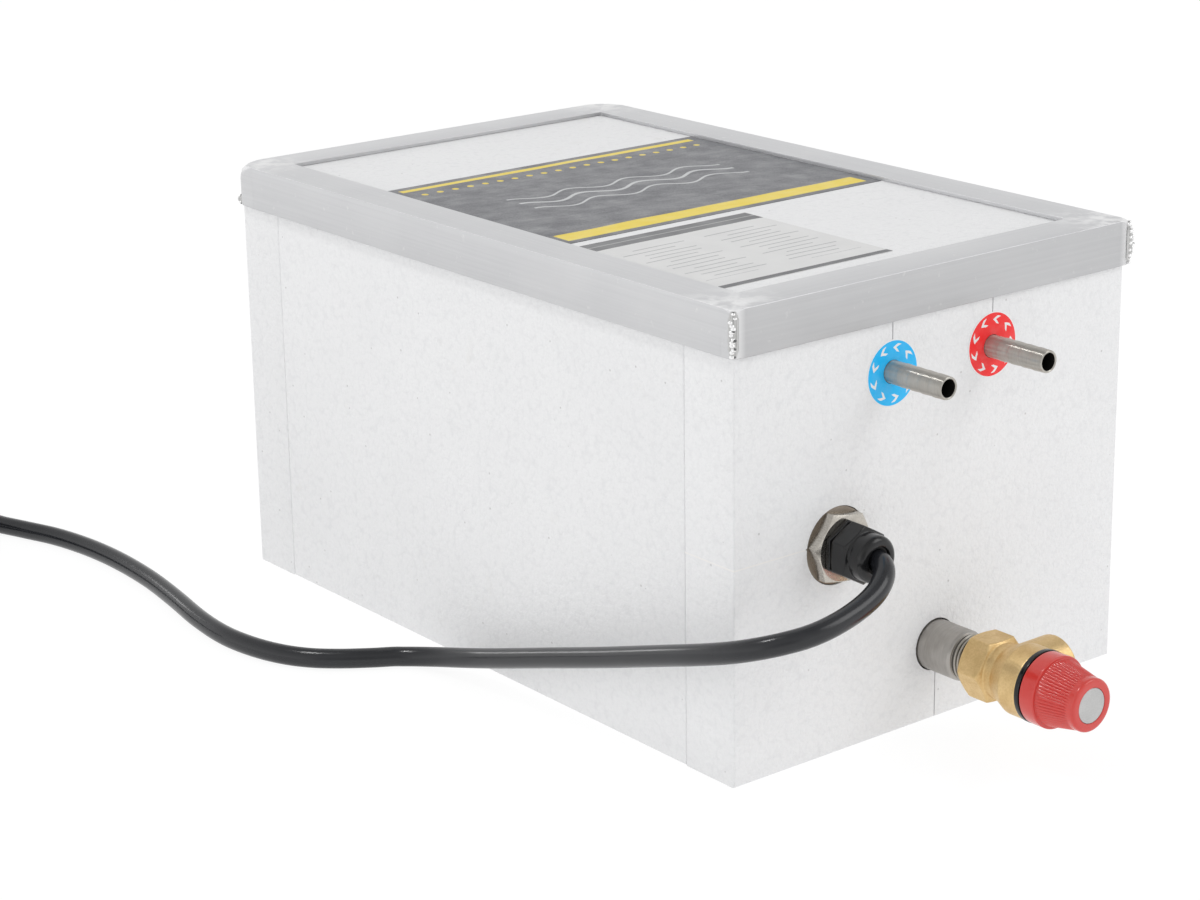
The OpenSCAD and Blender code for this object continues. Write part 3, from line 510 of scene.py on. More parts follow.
@dataclass(frozen=True)
class DataPrint:
    """White film with a dark head bar, a thin foot bar and two columns of pale ruled rows."""

    name: str = "data_print"
    paper: Colour = (0.725, 0.725, 0.722)
    bar: Colour = (0.115, 0.118, 0.125)
    rule: Colour = (0.40, 0.40, 0.41)
    head: float = -0.0602
    foot: float = -0.1452
    columns: tuple[float, float] = (-0.068, -0.021)
    rows: tuple[float, float] = (-0.134, -0.072)
    pitch: float = 0.0048

    def material(self) -> bpy.types.Material:
        """Builds the print.

        Returns:
            The material.
        """
        graph = Graph(self.name)
        x, y, _ = graph.axes()
        head = graph.maths("COMPARE", y, self.head, 0.0060)
        stripe = graph.maths("COMPARE", y, self.head, 0.0004)
        foot = graph.maths("COMPARE", y, self.foot, 0.0018)
        low, high = self.rows
        block = graph.maths("COMPARE", y, (low + high) / 2, (high - low) / 2)
        row = graph.maths("DIVIDE", y, self.pitch)
        line = graph.maths("LESS_THAN", graph.maths("FRACT", row), 0.17)
        count = graph.maths("FLOOR", row)
        uneven = graph.maths("MULTIPLY", graph.maths("SINE", graph.maths("MULTIPLY", count, 2.3)), 0.005)
        shown: Socket = graph.maths("COMPARE", x, graph.maths("ADD", uneven, self.columns[0]), 0.014)
        other = graph.maths("COMPARE", x, graph.maths("SUBTRACT", self.columns[1], uneven), 0.014)
        shown = graph.maths("MULTIPLY", graph.maths("MAXIMUM", shown, other), line)
        ruled = graph.mix(graph.maths("MULTIPLY", shown, block), self.paper, self.rule)
        barred = graph.mix(graph.maths("MAXIMUM", head, foot), ruled, self.bar)
        striped = graph.mix(graph.maths("MULTIPLY", stripe, 0.5), barred, self.paper)
        aged = graph.mix(graph.spread(graph.noise(0.02, 4.0), 0.4, 0.8, 0.0, 0.12), striped, self.rule)
        creases = graph.bump(graph.noise(0.02, 3.0, (1.0, 0.6, 1.0), 1.0), 0.0007)
        return graph.shade({
            "Base Color": aged,
            "Roughness": graph.spread(graph.noise(0.012, 3.0, shift=2.0), 0.3, 0.7, 0.30, 0.42),
            "Normal": graph.bump(graph.noise(0.0009, 2.0), 0.00002, creases),
        })


@dataclass(frozen=True)
class RingPrint:
    """Coloured ring film with a thin white rim and white chevrons round it."""

    name: str
    colour: Colour
    x: float
    z: float
    white: Colour = (0.86, 0.86, 0.86)
    marks: int = 9
    middle: float = 0.0107
    half_band: float = 0.0017
    rim: float = 0.0136

    def material(self) -> bpy.types.Material:
        """Builds the print.

        Returns:
            The material.
        """
        graph = Graph(self.name)
        x, _, z = graph.axes()
        side = graph.maths("SUBTRACT", x, self.x)
        rise = graph.maths("SUBTRACT", z, self.z)
        squares = graph.maths("ADD", graph.maths("POWER", side, 2.0), graph.maths("POWER", rise, 2.0))
        radius = graph.maths("SQRT", squares)
        turn = graph.maths("MULTIPLY", graph.maths("ARCTAN2", rise, side), self.marks / math.tau)
        off = graph.maths("DIVIDE", graph.maths("SUBTRACT", radius, self.middle), self.half_band)
        lean = graph.maths("MULTIPLY", graph.maths("ABSOLUTE", off), 0.32)
        phase = graph.maths("FRACT", graph.maths("ADD", turn, lean))
        inside = graph.maths("COMPARE", off, 0.0, 1.0)
        marks = graph.maths("MULTIPLY", graph.maths("LESS_THAN", phase, 0.24), inside)
        rim = graph.maths("GREATER_THAN", radius, self.rim)
        fade = graph.spread(graph.noise(0.004, 4.0), 0.4, 0.8, 0.0, 0.06)
        faded = graph.mix(fade, self.colour, self.white)
        return graph.shade({
            "Specular IOR Level": 0.3,
            "Base Color": graph.mix(graph.maths("MAXIMUM", marks, rim), faded, self.white),
            "Roughness": graph.spread(graph.noise(0.005, 3.0, shift=2.0), 0.3, 0.7, 0.34, 0.46),
            "Normal": graph.bump(graph.noise(0.006, 3.0, shift=4.0), 0.00012),
        })


@dataclass
class Finishes:
    """Every finish of the heater, made once."""

    foam: bpy.types.Material
    glue: bpy.types.Material
    angle_across: bpy.types.Material
    angle_along: bpy.types.Material
    weld_bead: bpy.types.Material
    weld_ridge: bpy.types.Material
    weld_toe: bpy.types.Material
    weld_pit: bpy.types.Material
    panel_print: bpy.types.Material
    data_print: bpy.types.Material
    cold_print: bpy.types.Material
    hot_print: bpy.types.Material
    stainless: bpy.types.Material
    bright_steel: bpy.types.Material
    flange_steel: bpy.types.Material
    bore_steel: bpy.types.Material
    root_steel: bpy.types.Material
    head_steel: bpy.types.Material
    pipe_steel: bpy.types.Material
    sheath: bpy.types.Material
    brass: bpy.types.Material
    forged_brass: bpy.types.Material
    spring: bpy.types.Material
    disc: bpy.types.Material
    pins: bpy.types.Material
    nylon: bpy.types.Material
    cable: bpy.types.Material
    rubber: bpy.types.Material
    red: bpy.types.Material
    plug: bpy.types.Material
    ceramic: bpy.types.Material
    strap: bpy.types.Material

    @classmethod
    def made(cls) -> "Finishes":
        """Builds all the materials.

        Returns:
            The finishes.
        """
        return cls(
            foam=Foam().material(),
            glue=Moulding("glue", (0.90, 0.885, 0.87), (0.84, 0.82, 0.80), 0.45).material(),
            # Painted shade: the upright faces of the front and back rails are darker than those of the side
            # rails.
            angle_across=DrawnAluminium("angle_across", Run.ALONG_X, skirt_shade=0.74, band=0.0065).material(),
            angle_along=DrawnAluminium("angle_along", Run.ALONG_Y, skirt_shade=0.855).material(),
            weld_bead=Metal("weld_bead", (0.97, 0.97, 0.97), (0.86, 0.86, 0.86), 0.34, stain=0.2).material(),
            weld_ridge=Metal("weld_ridge", (0.55, 0.55, 0.545), (0.40, 0.40, 0.395), 0.3).material(),
            weld_toe=Metal("weld_toe", (0.62, 0.62, 0.615), (0.50, 0.50, 0.495), 0.35).material(),
            # Near-black bumps among the white ones: painted dark reflection on the shiny weld.
            weld_pit=Metal("weld_pit", (0.20, 0.20, 0.20), (0.10, 0.10, 0.10), 0.25).material(),
            panel_print=PanelPrint().material(),
            data_print=DataPrint().material(),
            cold_print=RingPrint("cold_print", (0.014, 0.51, 0.98), -0.0261, 0.1580).material(),
            hot_print=RingPrint("hot_print", (0.95, 0.03, 0.032), 0.0313, 0.1593).material(),
            stainless=Metal(
                "stainless", (0.60, 0.60, 0.59), (0.42, 0.41, 0.40), 0.30, 0.0006, Run.ALONG_Y
            ).material(),
            bright_steel=Metal(
                "bright_steel", (0.56, 0.54, 0.50), (0.42, 0.39, 0.35), 0.33, 0.0005, Run.ROUND_Y, smear=1.0
            ).material(),
            flange_steel=Metal("flange_steel", (0.30, 0.26, 0.22), (0.18, 0.15, 0.12), 0.34).material(),
            # Near-black metal inside the tails' bores: painted shade.
            bore_steel=Metal("bore_steel", (0.02, 0.019, 0.018), (0.01, 0.01, 0.01), 0.6).material(),
            # Dark metal for the thread's grooves: painted shade.
            root_steel=Metal("root_steel", (0.13, 0.12, 0.105), (0.05, 0.045, 0.04), 0.4).material(),
            head_steel=Metal("head_steel", (0.60, 0.57, 0.52), (0.38, 0.345, 0.30), 0.25, 0.0012).material(),
            pipe_steel=Metal(
                "pipe_steel", (0.47, 0.45, 0.425), (0.31, 0.29, 0.265), 0.36, 0.0007, Run.ROUND_Y, stain=0.6
            ).material(),
            sheath=Metal("sheath", (0.33, 0.34, 0.34), (0.2, 0.19, 0.18), 0.45).material(),
            brass=Metal(
                "brass", (0.72, 0.52, 0.22), (0.5, 0.34, 0.13), 0.28, 0.0006, Run.ROUND_Y
            ).material(),
            forged_brass=Metal(
                "forged_brass", (0.83, 0.61, 0.31), (0.58, 0.39, 0.165), 0.36, 0.0009,
                depth=0.00012, stain=0.7,
            ).material(),
            spring=Metal("spring", (0.6, 0.6, 0.6), (0.4, 0.4, 0.4), 0.25).material(),
            disc=Metal("disc", (0.58, 0.58, 0.575), (0.42, 0.42, 0.415), 0.34, 0.0005).material(),
            pins=Metal("pins", (0.80, 0.80, 0.79), (0.6, 0.6, 0.58), 0.16).material(),
            nylon=Moulding(
                "nylon", (0.006, 0.006, 0.0065), (0.035, 0.036, 0.039), 0.2, shine=0.45
            ).material(),
            cable=Moulding(
                "cable", (0.014, 0.015, 0.018), (0.032, 0.033, 0.038), 0.22, 0.0012
            ).material(),
            rubber=Moulding("rubber", (0.02, 0.02, 0.02), (0.05, 0.05, 0.05), 0.7).material(),
            red=Moulding("red", (0.64, 0.040, 0.032), (0.72, 0.10, 0.08), 0.22, coat=0.35).material(),
            plug=Moulding(
                "plug", (0.014, 0.014, 0.015), (0.04, 0.04, 0.043), 0.5, 0.0005, 0.00005
            ).material(),
            ceramic=Moulding("ceramic", (0.78, 0.77, 0.72), (0.6, 0.58, 0.52), 0.3).material(),
            strap=Webbing().material(),
        )


@dataclass(frozen=True)
class Axis:
    """An axis along -Y, with distances measured out from its start."""

    x: float
    z: float
    start: float = FRONT_Y

    def point(self, out: float, radius: float, angle: float) -> Vector:
        """Point at a distance along the axis, a radius and an angle round it."""
        across, rise = radius * math.cos(angle), radius * math.sin(angle)
        return Vector((self.x + across, self.start - out, self.z + rise))


def filleted(corners: Sequence[Point], steps: int = 4) -> list[tuple[float, float]]:
    """Closed outline with rounded corners.

    Args:
        corners: distance out, radius and fillet of each corner, in order round the outline.
        steps: number of chords in each rounded corner.

    Returns:
        The outline's points as distance out and radius.
    """
    points: list[tuple[float, float]] = []
    for index, (out, radius, fillet) in enumerate(corners):
        corner = Vector((out, radius))
        if fillet <= 0:
            points.append((out, radius))
            continue
        before = Vector(corners[index - 1][:2]) - corner
        after = Vector(corners[(index + 1) % len(corners)][:2]) - corner
        reach = fillet / math.tan(before.angle(after) / 2)
        reach = min(reach, 0.49 * before.length, 0.49 * after.length)
        first = corner + before.normalized() * reach
        last = corner + after.normalized() * reach
        for step in range(steps + 1):
            t = step / steps
            point = first * (1 - t) ** 2 + corner * 2 * t * (1 - t) + last * t**2
            points.append((point.x, point.y))
    return points


def ringed(rings: Sequence[Sequence[Vector]], zones: Optional[Sequence[float]] = None) -> bmesh.types.BMesh:
    """Closed skin over a row of rings that comes back to its first ring.

    Args:
        rings: points of each ring, equally many in all.
        zones: value of the point attribute "zone" on each ring; faces wholly in zone 2 get the second
            material.

    Returns:
        The skin, with its faces pointing outwards.
    """
    shape = bmesh.new()
    zone = shape.verts.layers.float.new("zone")
    loops = []
    for index, ring in enumerate(rings):
        loop = [shape.verts.new(point) for point in ring]
        for vert in loop:
            vert[zone] = zones[index] if zones else 0.0
        loops.append(loop)
    sides = len(rings[0])
    for first, second in zip(loops, loops[1:] + loops[:1]):
        for k in range(sides):
            after = (k + 1) % sides
            shape.faces.new((first[k], first[after], second[after], second[k]))
    bmesh.ops.remove_doubles(shape, verts=shape.verts, dist=1e-7)
    stray = [edge for edge in shape.edges if not edge.link_faces]
    bmesh.ops.delete(shape, geom=stray, context="EDGES")
    bmesh.ops.recalc_face_normals(shape, faces=shape.faces)
    for face in shape.faces:
        face.material_index = int(min(vert[zone] for vert in face.verts) > 1.5)
    return shape


def swept(rings: Sequence[Sequence[Vector]]) -> bmesh.types.BMesh:
    """Closed skin over a row of rings with a flat cap at each end.

    Args:
        rings: points of each ring, equally many in all.

    Returns:
        The skin, with its faces pointing outwards.
    """
    shape = bmesh.new()
    loops = [[shape.verts.new(point) for point in ring] for ring in rings]
    sides = len(rings[0])
    for before, after in zip(loops, loops[1:]):
        for k in range(sides):
            step = (k + 1) % sides
            shape.faces.new((before[k], before[step], after[step], after[k]))
    shape.faces.new(loops[0])
    shape.faces.new(loops[-1])
    bmesh.ops.remove_doubles(shape, verts=shape.verts, dist=1e-7)
    bmesh.ops.recalc_face_normals(shape, faces=shape.faces)
    return shape


def turned(
    axis: Axis, outline: Sequence[tuple[float, float]], sides: int, zones: Optional[Sequence[float]] = None
) -> bmesh.types.BMesh:
    """Solid turned from a closed outline.

    Args:
        axis: axis of the solid.
        outline: distance out and radius of each point.
        sides: number of points round the axis.
        zones: value of the attribute "zone" at each point of the outline.

    Returns:
        The solid.
    """
    angles = [math.tau * k / sides for k in range(sides)]
    return ringed([[axis.point(out, radius, angle) for angle in angles] for out, radius in outline], zones)


def to_mesh(shape: bmesh.types.BMesh, name: str, crease: float = 35.0) -> bpy.types.Mesh:
    """Mesh of a finished shape, smooth up to a crease angle.

    Args:
        shape: shape to use up.
        name: name of the mesh.
        crease: angle in degrees from which an edge stays sharp.

    Returns:
        The mesh.
    """
    mesh = bpy.data.meshes.new(name)
    shape.to_mesh(mesh)
    shape.free()
    mesh.shade_smooth()
    mesh.set_sharp_from_angle(angle=math.radians(crease))
    return mesh


def linked(name: str, data: bpy.types.ID) -> bpy.types.Object:
    """Object at the origin for new data, put in the scene.

    Args:
        name: name of the object.
        data: its mesh, curve, camera or light.

    Returns:
        The object.
    """
    made = bpy.data.objects.new(name, data)
    bpy.context.scene.collection.objects.link(made)
    return made


def settled(made: bpy.types.Object, crease: float = 35.0) -> bpy.types.Mesh:
    """Plain mesh of an object with its modifiers applied; the object itself goes.

    Args:
        made: object with modifiers.
        crease: angle in degrees from which an edge stays sharp.

    Returns:
        The mesh.
    """
    bpy.context.view_layer.update()
    depsgraph = bpy.context.evaluated_depsgraph_get()
    mesh = bpy.data.meshes.new_from_object(
        made.evaluated_get(depsgraph), preserve_all_data_layers=True, depsgraph=depsgraph
    )
    bpy.data.objects.remove(made)
    mesh.shade_smooth()
    mesh.set_sharp_from_angle(angle=math.radians(crease))
    return mesh


def joined(name: str, meshes: Sequence[bpy.types.Mesh]) -> bpy.types.Mesh:
    """One mesh of several, each with its own material index in their order.

    Args:
        name: name of the mesh.
        meshes: meshes to join.

    Returns:
        The joined mesh.
    """
    shape = bmesh.new()
    for index, mesh in enumerate(meshes):
        first = len(shape.faces)
        shape.from_mesh(mesh)
        shape.faces.ensure_lookup_table()
        for face in shape.faces[first:]:
            face.material_index = index
    return to_mesh(shape, name, 40.0)


class Recipe:
    """A Geometry Nodes tree with named sizes that ends in plain geometry of one material."""

    def __init__(self, name: str) -> None:
        """Makes the empty tree.

        Args:
            name: name of the tree.
        """
        self.tree = bpy.data.node_groups.new(name, "GeometryNodeTree")
        self.tree.interface.new_socket("Geometry", in_out="OUTPUT", socket_type=Input.GEOMETRY.value)
        self.entry = self.tree.nodes.new("NodeGroupInput")
        self.sizes: dict[str, str] = {}

    def takes(self, name: str, kind: Input) -> Socket:
        """Adds a named input.

        Args:
            name: name of the input.
            kind: what it takes.

        Returns:
            Its socket inside the tree.
        """
        made = self.tree.interface.new_socket(name, in_out="INPUT", socket_type=kind.value)
        self.sizes[name] = made.identifier
        return self.entry.outputs[name]

    def node(self, kind: str, inputs: dict, **settings: object) -> bpy.types.Node:
        """Adds a node.

        Args:
            kind: full type of the node.
            inputs: values by input name or index.
            settings: properties of the node.

        Returns:
            The new node.
        """
        made = self.tree.nodes.new(kind)
        for name, value in settings.items():
            setattr(made, name, value)
        for key, value in inputs.items():
            if isinstance(value, bpy.types.NodeSocket):
                self.tree.links.new(value, made.inputs[key])
            else:
                made.inputs[key].default_value = value
        return made

    def maths(self, operation: str, *values: Value) -> Socket:
        """Result of a Math node on one to three values."""
        return self.node("ShaderNodeMath", dict(enumerate(values)), operation=operation).outputs[0]

    def jitter(self, low: Value, high: Value, seed: Value, kind: str = "FLOAT") -> Socket:
        """Random value for each point.

        Args:
            low: least value.
            high: greatest value.
            seed: seed of the row.
            kind: data type of the value.

        Returns:
            The random value.
        """
        first = 0 if kind == "FLOAT_VECTOR" else 2
        made = self.node("FunctionNodeRandomValue", {first: low, first + 1: high, 8: seed}, data_type=kind)
        return made.outputs[0 if kind == "FLOAT_VECTOR" else 1]

    def ends(self, geometry: Socket, material: bpy.types.Material) -> None:
        """Ends the tree in real geometry of one material.

        Args:
            geometry: what the tree made.
            material: its finish.
        """
        real = self.node("GeometryNodeRealizeInstances", {"Geometry": geometry})
        painted = self.node("GeometryNodeSetMaterial", {"Geometry": real.outputs[0], "Material": material})
        leave = self.tree.nodes.new("NodeGroupOutput")
        self.tree.links.new(painted.outputs[0], leave.inputs[0])

    def mesh(self, values: dict[str, Value], base: Optional[bpy.types.Mesh] = None) -> bpy.types.Mesh:
        """Runs the recipe.

        Args:
            values: value of each named input.
            base: mesh that the recipe works on, if it takes one.

        Returns:
            The plain mesh.
        """
        made = linked(self.tree.name, base or bpy.data.meshes.new(self.tree.name))
        modifier = made.modifiers.new(self.tree.name, "NODES")
        modifier.node_group = self.tree
        for name, value in values.items():
            modifier[self.sizes[name]] = value
        return settled(made)


@dataclass
class Bench:
    """What every sub-assembly works with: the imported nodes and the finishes."""

    nodes: dict[str, bpy.types.Object]
    finishes: Finishes

    def copy(self, node: str) -> bmesh.types.BMesh:
        """Copy of a CAD node with its triangles joined and its flat faces made whole.

        Args:
            node: name of the node.

        Returns:
            The copy.
        """
        shape = bmesh.new()
        shape.from_mesh(self.nodes[node].data)
        bmesh.ops.remove_doubles(shape, verts=shape.verts, dist=1e-6)
        bmesh.ops.dissolve_limit(shape, angle_limit=math.radians(0.3), verts=shape.verts, edges=shape.edges)
        return shape

    def eased(self, node: str, edge: float, length: float) -> bmesh.types.BMesh:
        """Copy of a CAD node with its long sharp edges rounded.

        Args:
            node: name of the node.
            edge: width of the rounding.
            length: length from which an edge is rounded.

        Returns:
            The rounded shape.
        """
        shape = self.copy(node)
        long_edges = [
            part for part in shape.edges
            if part.calc_length() > length and part.calc_face_angle(0.0) > SHARP
        ]
        bmesh.ops.bevel(shape, geom=long_edges, offset=edge, segments=3, affect="EDGES", profile=0.5)
        return shape

    def softened(self, node: str, edge: float, steps: int = 2, clamp: bool = False) -> bpy.types.Mesh:
        """Copy of a CAD node with its sharp edges rounded.

        Args:
            node: name of the node.
            edge: width of the rounding.
            steps: chords in the rounding.
            clamp: keeps the rounding from overlapping itself.

        Returns:
            The rounded mesh.
        """
        made = linked(node + "_soft", to_mesh(self.copy(node), node + "_soft"))
        bevel = made.modifiers.new("edge", "BEVEL")
        bevel.width = edge
        bevel.segments = steps
        bevel.limit_method = "ANGLE"
        bevel.angle_limit = SHARP
        bevel.use_clamp_overlap = clamp
        return settled(made)

    def forged(self, node: str, grid: float, rounds: int) -> bpy.types.Mesh:
        """Copy of a CAD node with the soft edges of a forging or moulding.

        Args:
            node: name of the node.
            grid: size of the new skin's faces.
            rounds: rounds of smoothing.

        Returns:
            The smoothed mesh.
        """
        made = linked(node + "_forged", to_mesh(self.copy(node), node + "_forged"))
        skin = made.modifiers.new("skin", "REMESH")
        skin.mode = "VOXEL"
        skin.voxel_size = grid
        smooth = made.modifiers.new("soften", "SMOOTH")
        smooth.factor = 0.5
        smooth.iterations = rounds
        return settled(made, 180.0)

    def put(
        self,
        name: str,
        data: bpy.types.ID,
        materials: Sequence[bpy.types.Material],
        nodes: Sequence[str],
        body: str = "case",
    ) -> bpy.types.Object:
        """Puts a finished piece on its body, in place of CAD nodes.

        Args:
            name: name of the piece.
            data: its mesh or curve.
            materials: its materials, in order.
            nodes: CAD nodes that it stands for.
            body: CAD body that it rides on.

        Returns:
            The piece.
        """
        for index, material in enumerate(materials):
            if index < len(data.materials):
                data.materials[index] = material
            else:
                data.materials.append(material)
        made = linked(name, data)
        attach(made, body)
        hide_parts(*nodes)
        LOG.info("piece %s on %s", name, body)
        return made

    def dress(self, node: str, material: bpy.types.Material) -> None:
        """Gives a carried-over CAD node its finish.

        Args:
            node: name of the node.
            material: its finish.
        """
        made = self.nodes[node]
        made.material_slots[0].link = "OBJECT"
        made.material_slots[0].material = material
        LOG.info("node %s dressed", node)


@dataclass
class Studio:
    """Camera, pale floor and soft light."""

    eye: Point = (-0.8068, -0.9773, 0.4860)
    right: Point = (0.78242, -0.62258, -0.01487)
    up: Point = (0.19212, 0.21859, 0.95672)
    back: Point = (-0.59238, -0.75141, 0.29064)
    lens: float = 86.0
    shift: float = -0.0417
    horizon: float = 1.16
    zenith: float = 0.47
    slope: float = 0.16
    dark_end: Point = (-0.619, -0.779, 0.100)
    dark: float = 0.5
    left_glow: float = 1.02
    right_glow: float = 1.10
    glow_share: float = 0.72
    floor_half: float = 12.0
    paper: float = 0.93
    seen_glow: float = 1.06
    seen_share: float = 0.86
    aim: Point = (0.0, 0.0, 0.1)
    lamps: tuple[tuple[str, Point, float, float], ...] = (
        ("key_lamp", (1.5, -1.7, 1.9), 1.5, 15.0),
        ("side_lamp", (-0.75, 0.35, 2.0), 0.24, 6.0),
        ("low_lamp", (-0.38, 2.33, 0.72), 0.3, 1.5),
    )

    def camera(self) -> None:
        """Sets the camera at the photograph's angle."""
        data = bpy.data.cameras.new("camera")
        data.sensor_width = 36.0
        data.lens = self.lens
        data.shift_y = self.shift
        made = linked("camera", data)
        turn = Matrix((self.right, self.up, self.back)).transposed()
        made.matrix_world = Matrix.Translation(self.eye) @ turn.to_4x4()
        bpy.context.scene.camera = made

    def world(self) -> None:
        """Makes a surround that is lighter on the left, dark at one end and white to the camera."""
        made = bpy.data.worlds.new("surround")
        made.use_nodes = True
        nodes = Nodes(made.node_tree)
        way = nodes.node("TexCoord", {}).outputs["Generated"]
        x, _, z = nodes.node("SeparateXYZ", {"Vector": way}).outputs
        height = nodes.spread(z, 0.0, 1.0, self.horizon, self.zenith)
        graded = nodes.maths("SUBTRACT", height, nodes.maths("MULTIPLY", x, self.slope))
        near = nodes.node("VectorMath", {0: way, 1: self.dark_end}, operation="DOT_PRODUCT").outputs["Value"]
        level = nodes.maths("MULTIPLY", graded, nodes.spread(near, 0.78, 0.97, 1.0, self.dark))
        camera = nodes.node("LightPath", {}).outputs["Is Camera Ray"]
        strength = nodes.spread(camera, 0.0, 1.0, level, 1.0)
        light = nodes.node("Background", {"Color": (1.0, 1.0, 1.0), "Strength": strength})
        nodes.node("OutputWorld", {"Surface": light.outputs[0]})
        bpy.context.scene.world = made

    def floor(self) -> None:
        """Lays a white floor that keeps a soft shadow and throws light back, a little more on the right."""
        shape = bmesh.new()
        bmesh.ops.create_grid(shape, x_segments=2, y_segments=2, size=self.floor_half)
        made = linked("floor", to_mesh(shape, "floor"))
        material = bpy.data.materials.new("floor_paper")
        material.use_nodes = True
        nodes = Nodes(material.node_tree)
        place = nodes.node("TexCoord", {}).outputs["Object"]
        x = nodes.node("SeparateXYZ", {"Vector": place}).outputs["X"]
        camera = nodes.node("LightPath", {}).outputs["Is Camera Ray"]
        graded = nodes.spread(x, -1.0, 1.0, self.left_glow, self.right_glow)
        glow = nodes.node("Emission", {"Strength": nodes.spread(camera, 0.0, 1.0, graded, self.seen_glow)})
        paper = nodes.node("BsdfDiffuse", {"Color": (self.paper, self.paper, self.paper)})
        share = nodes.spread(camera, 0.0, 1.0, self.glow_share, self.seen_share)
        mixed = nodes.node("MixShader", {0: share, 1: paper.outputs[0], 2: glow.outputs[0]})
        nodes.node("OutputMaterial", {"Surface": mixed.outputs[0]})
        made.data.materials.append(material)

    def lamp(self, name: str, place: Point, size: float, power: float) -> None:
        """Hangs a square soft lamp that faces the heater.

        Args:
            name: name of the lamp.
            place: its place.
            size: length of its side.
            power: its power in watts.
        """
        data = bpy.data.lights.new(name, "AREA")
        data.size = size
        data.energy = power
        made = linked(name, data)
        made.location = place
        way = Vector(self.aim) - Vector(place)
        made.rotation_euler = way.to_track_quat("-Z", "Y").to_euler()

    def build(self) -> None:
        """Sets up the whole studio."""
        bpy.context.scene.view_settings.view_transform = "Standard"
        self.camera()
        self.world()
        self.floor()
        for name, place, size, power in self.lamps:
            self.lamp(name, place, size, power)


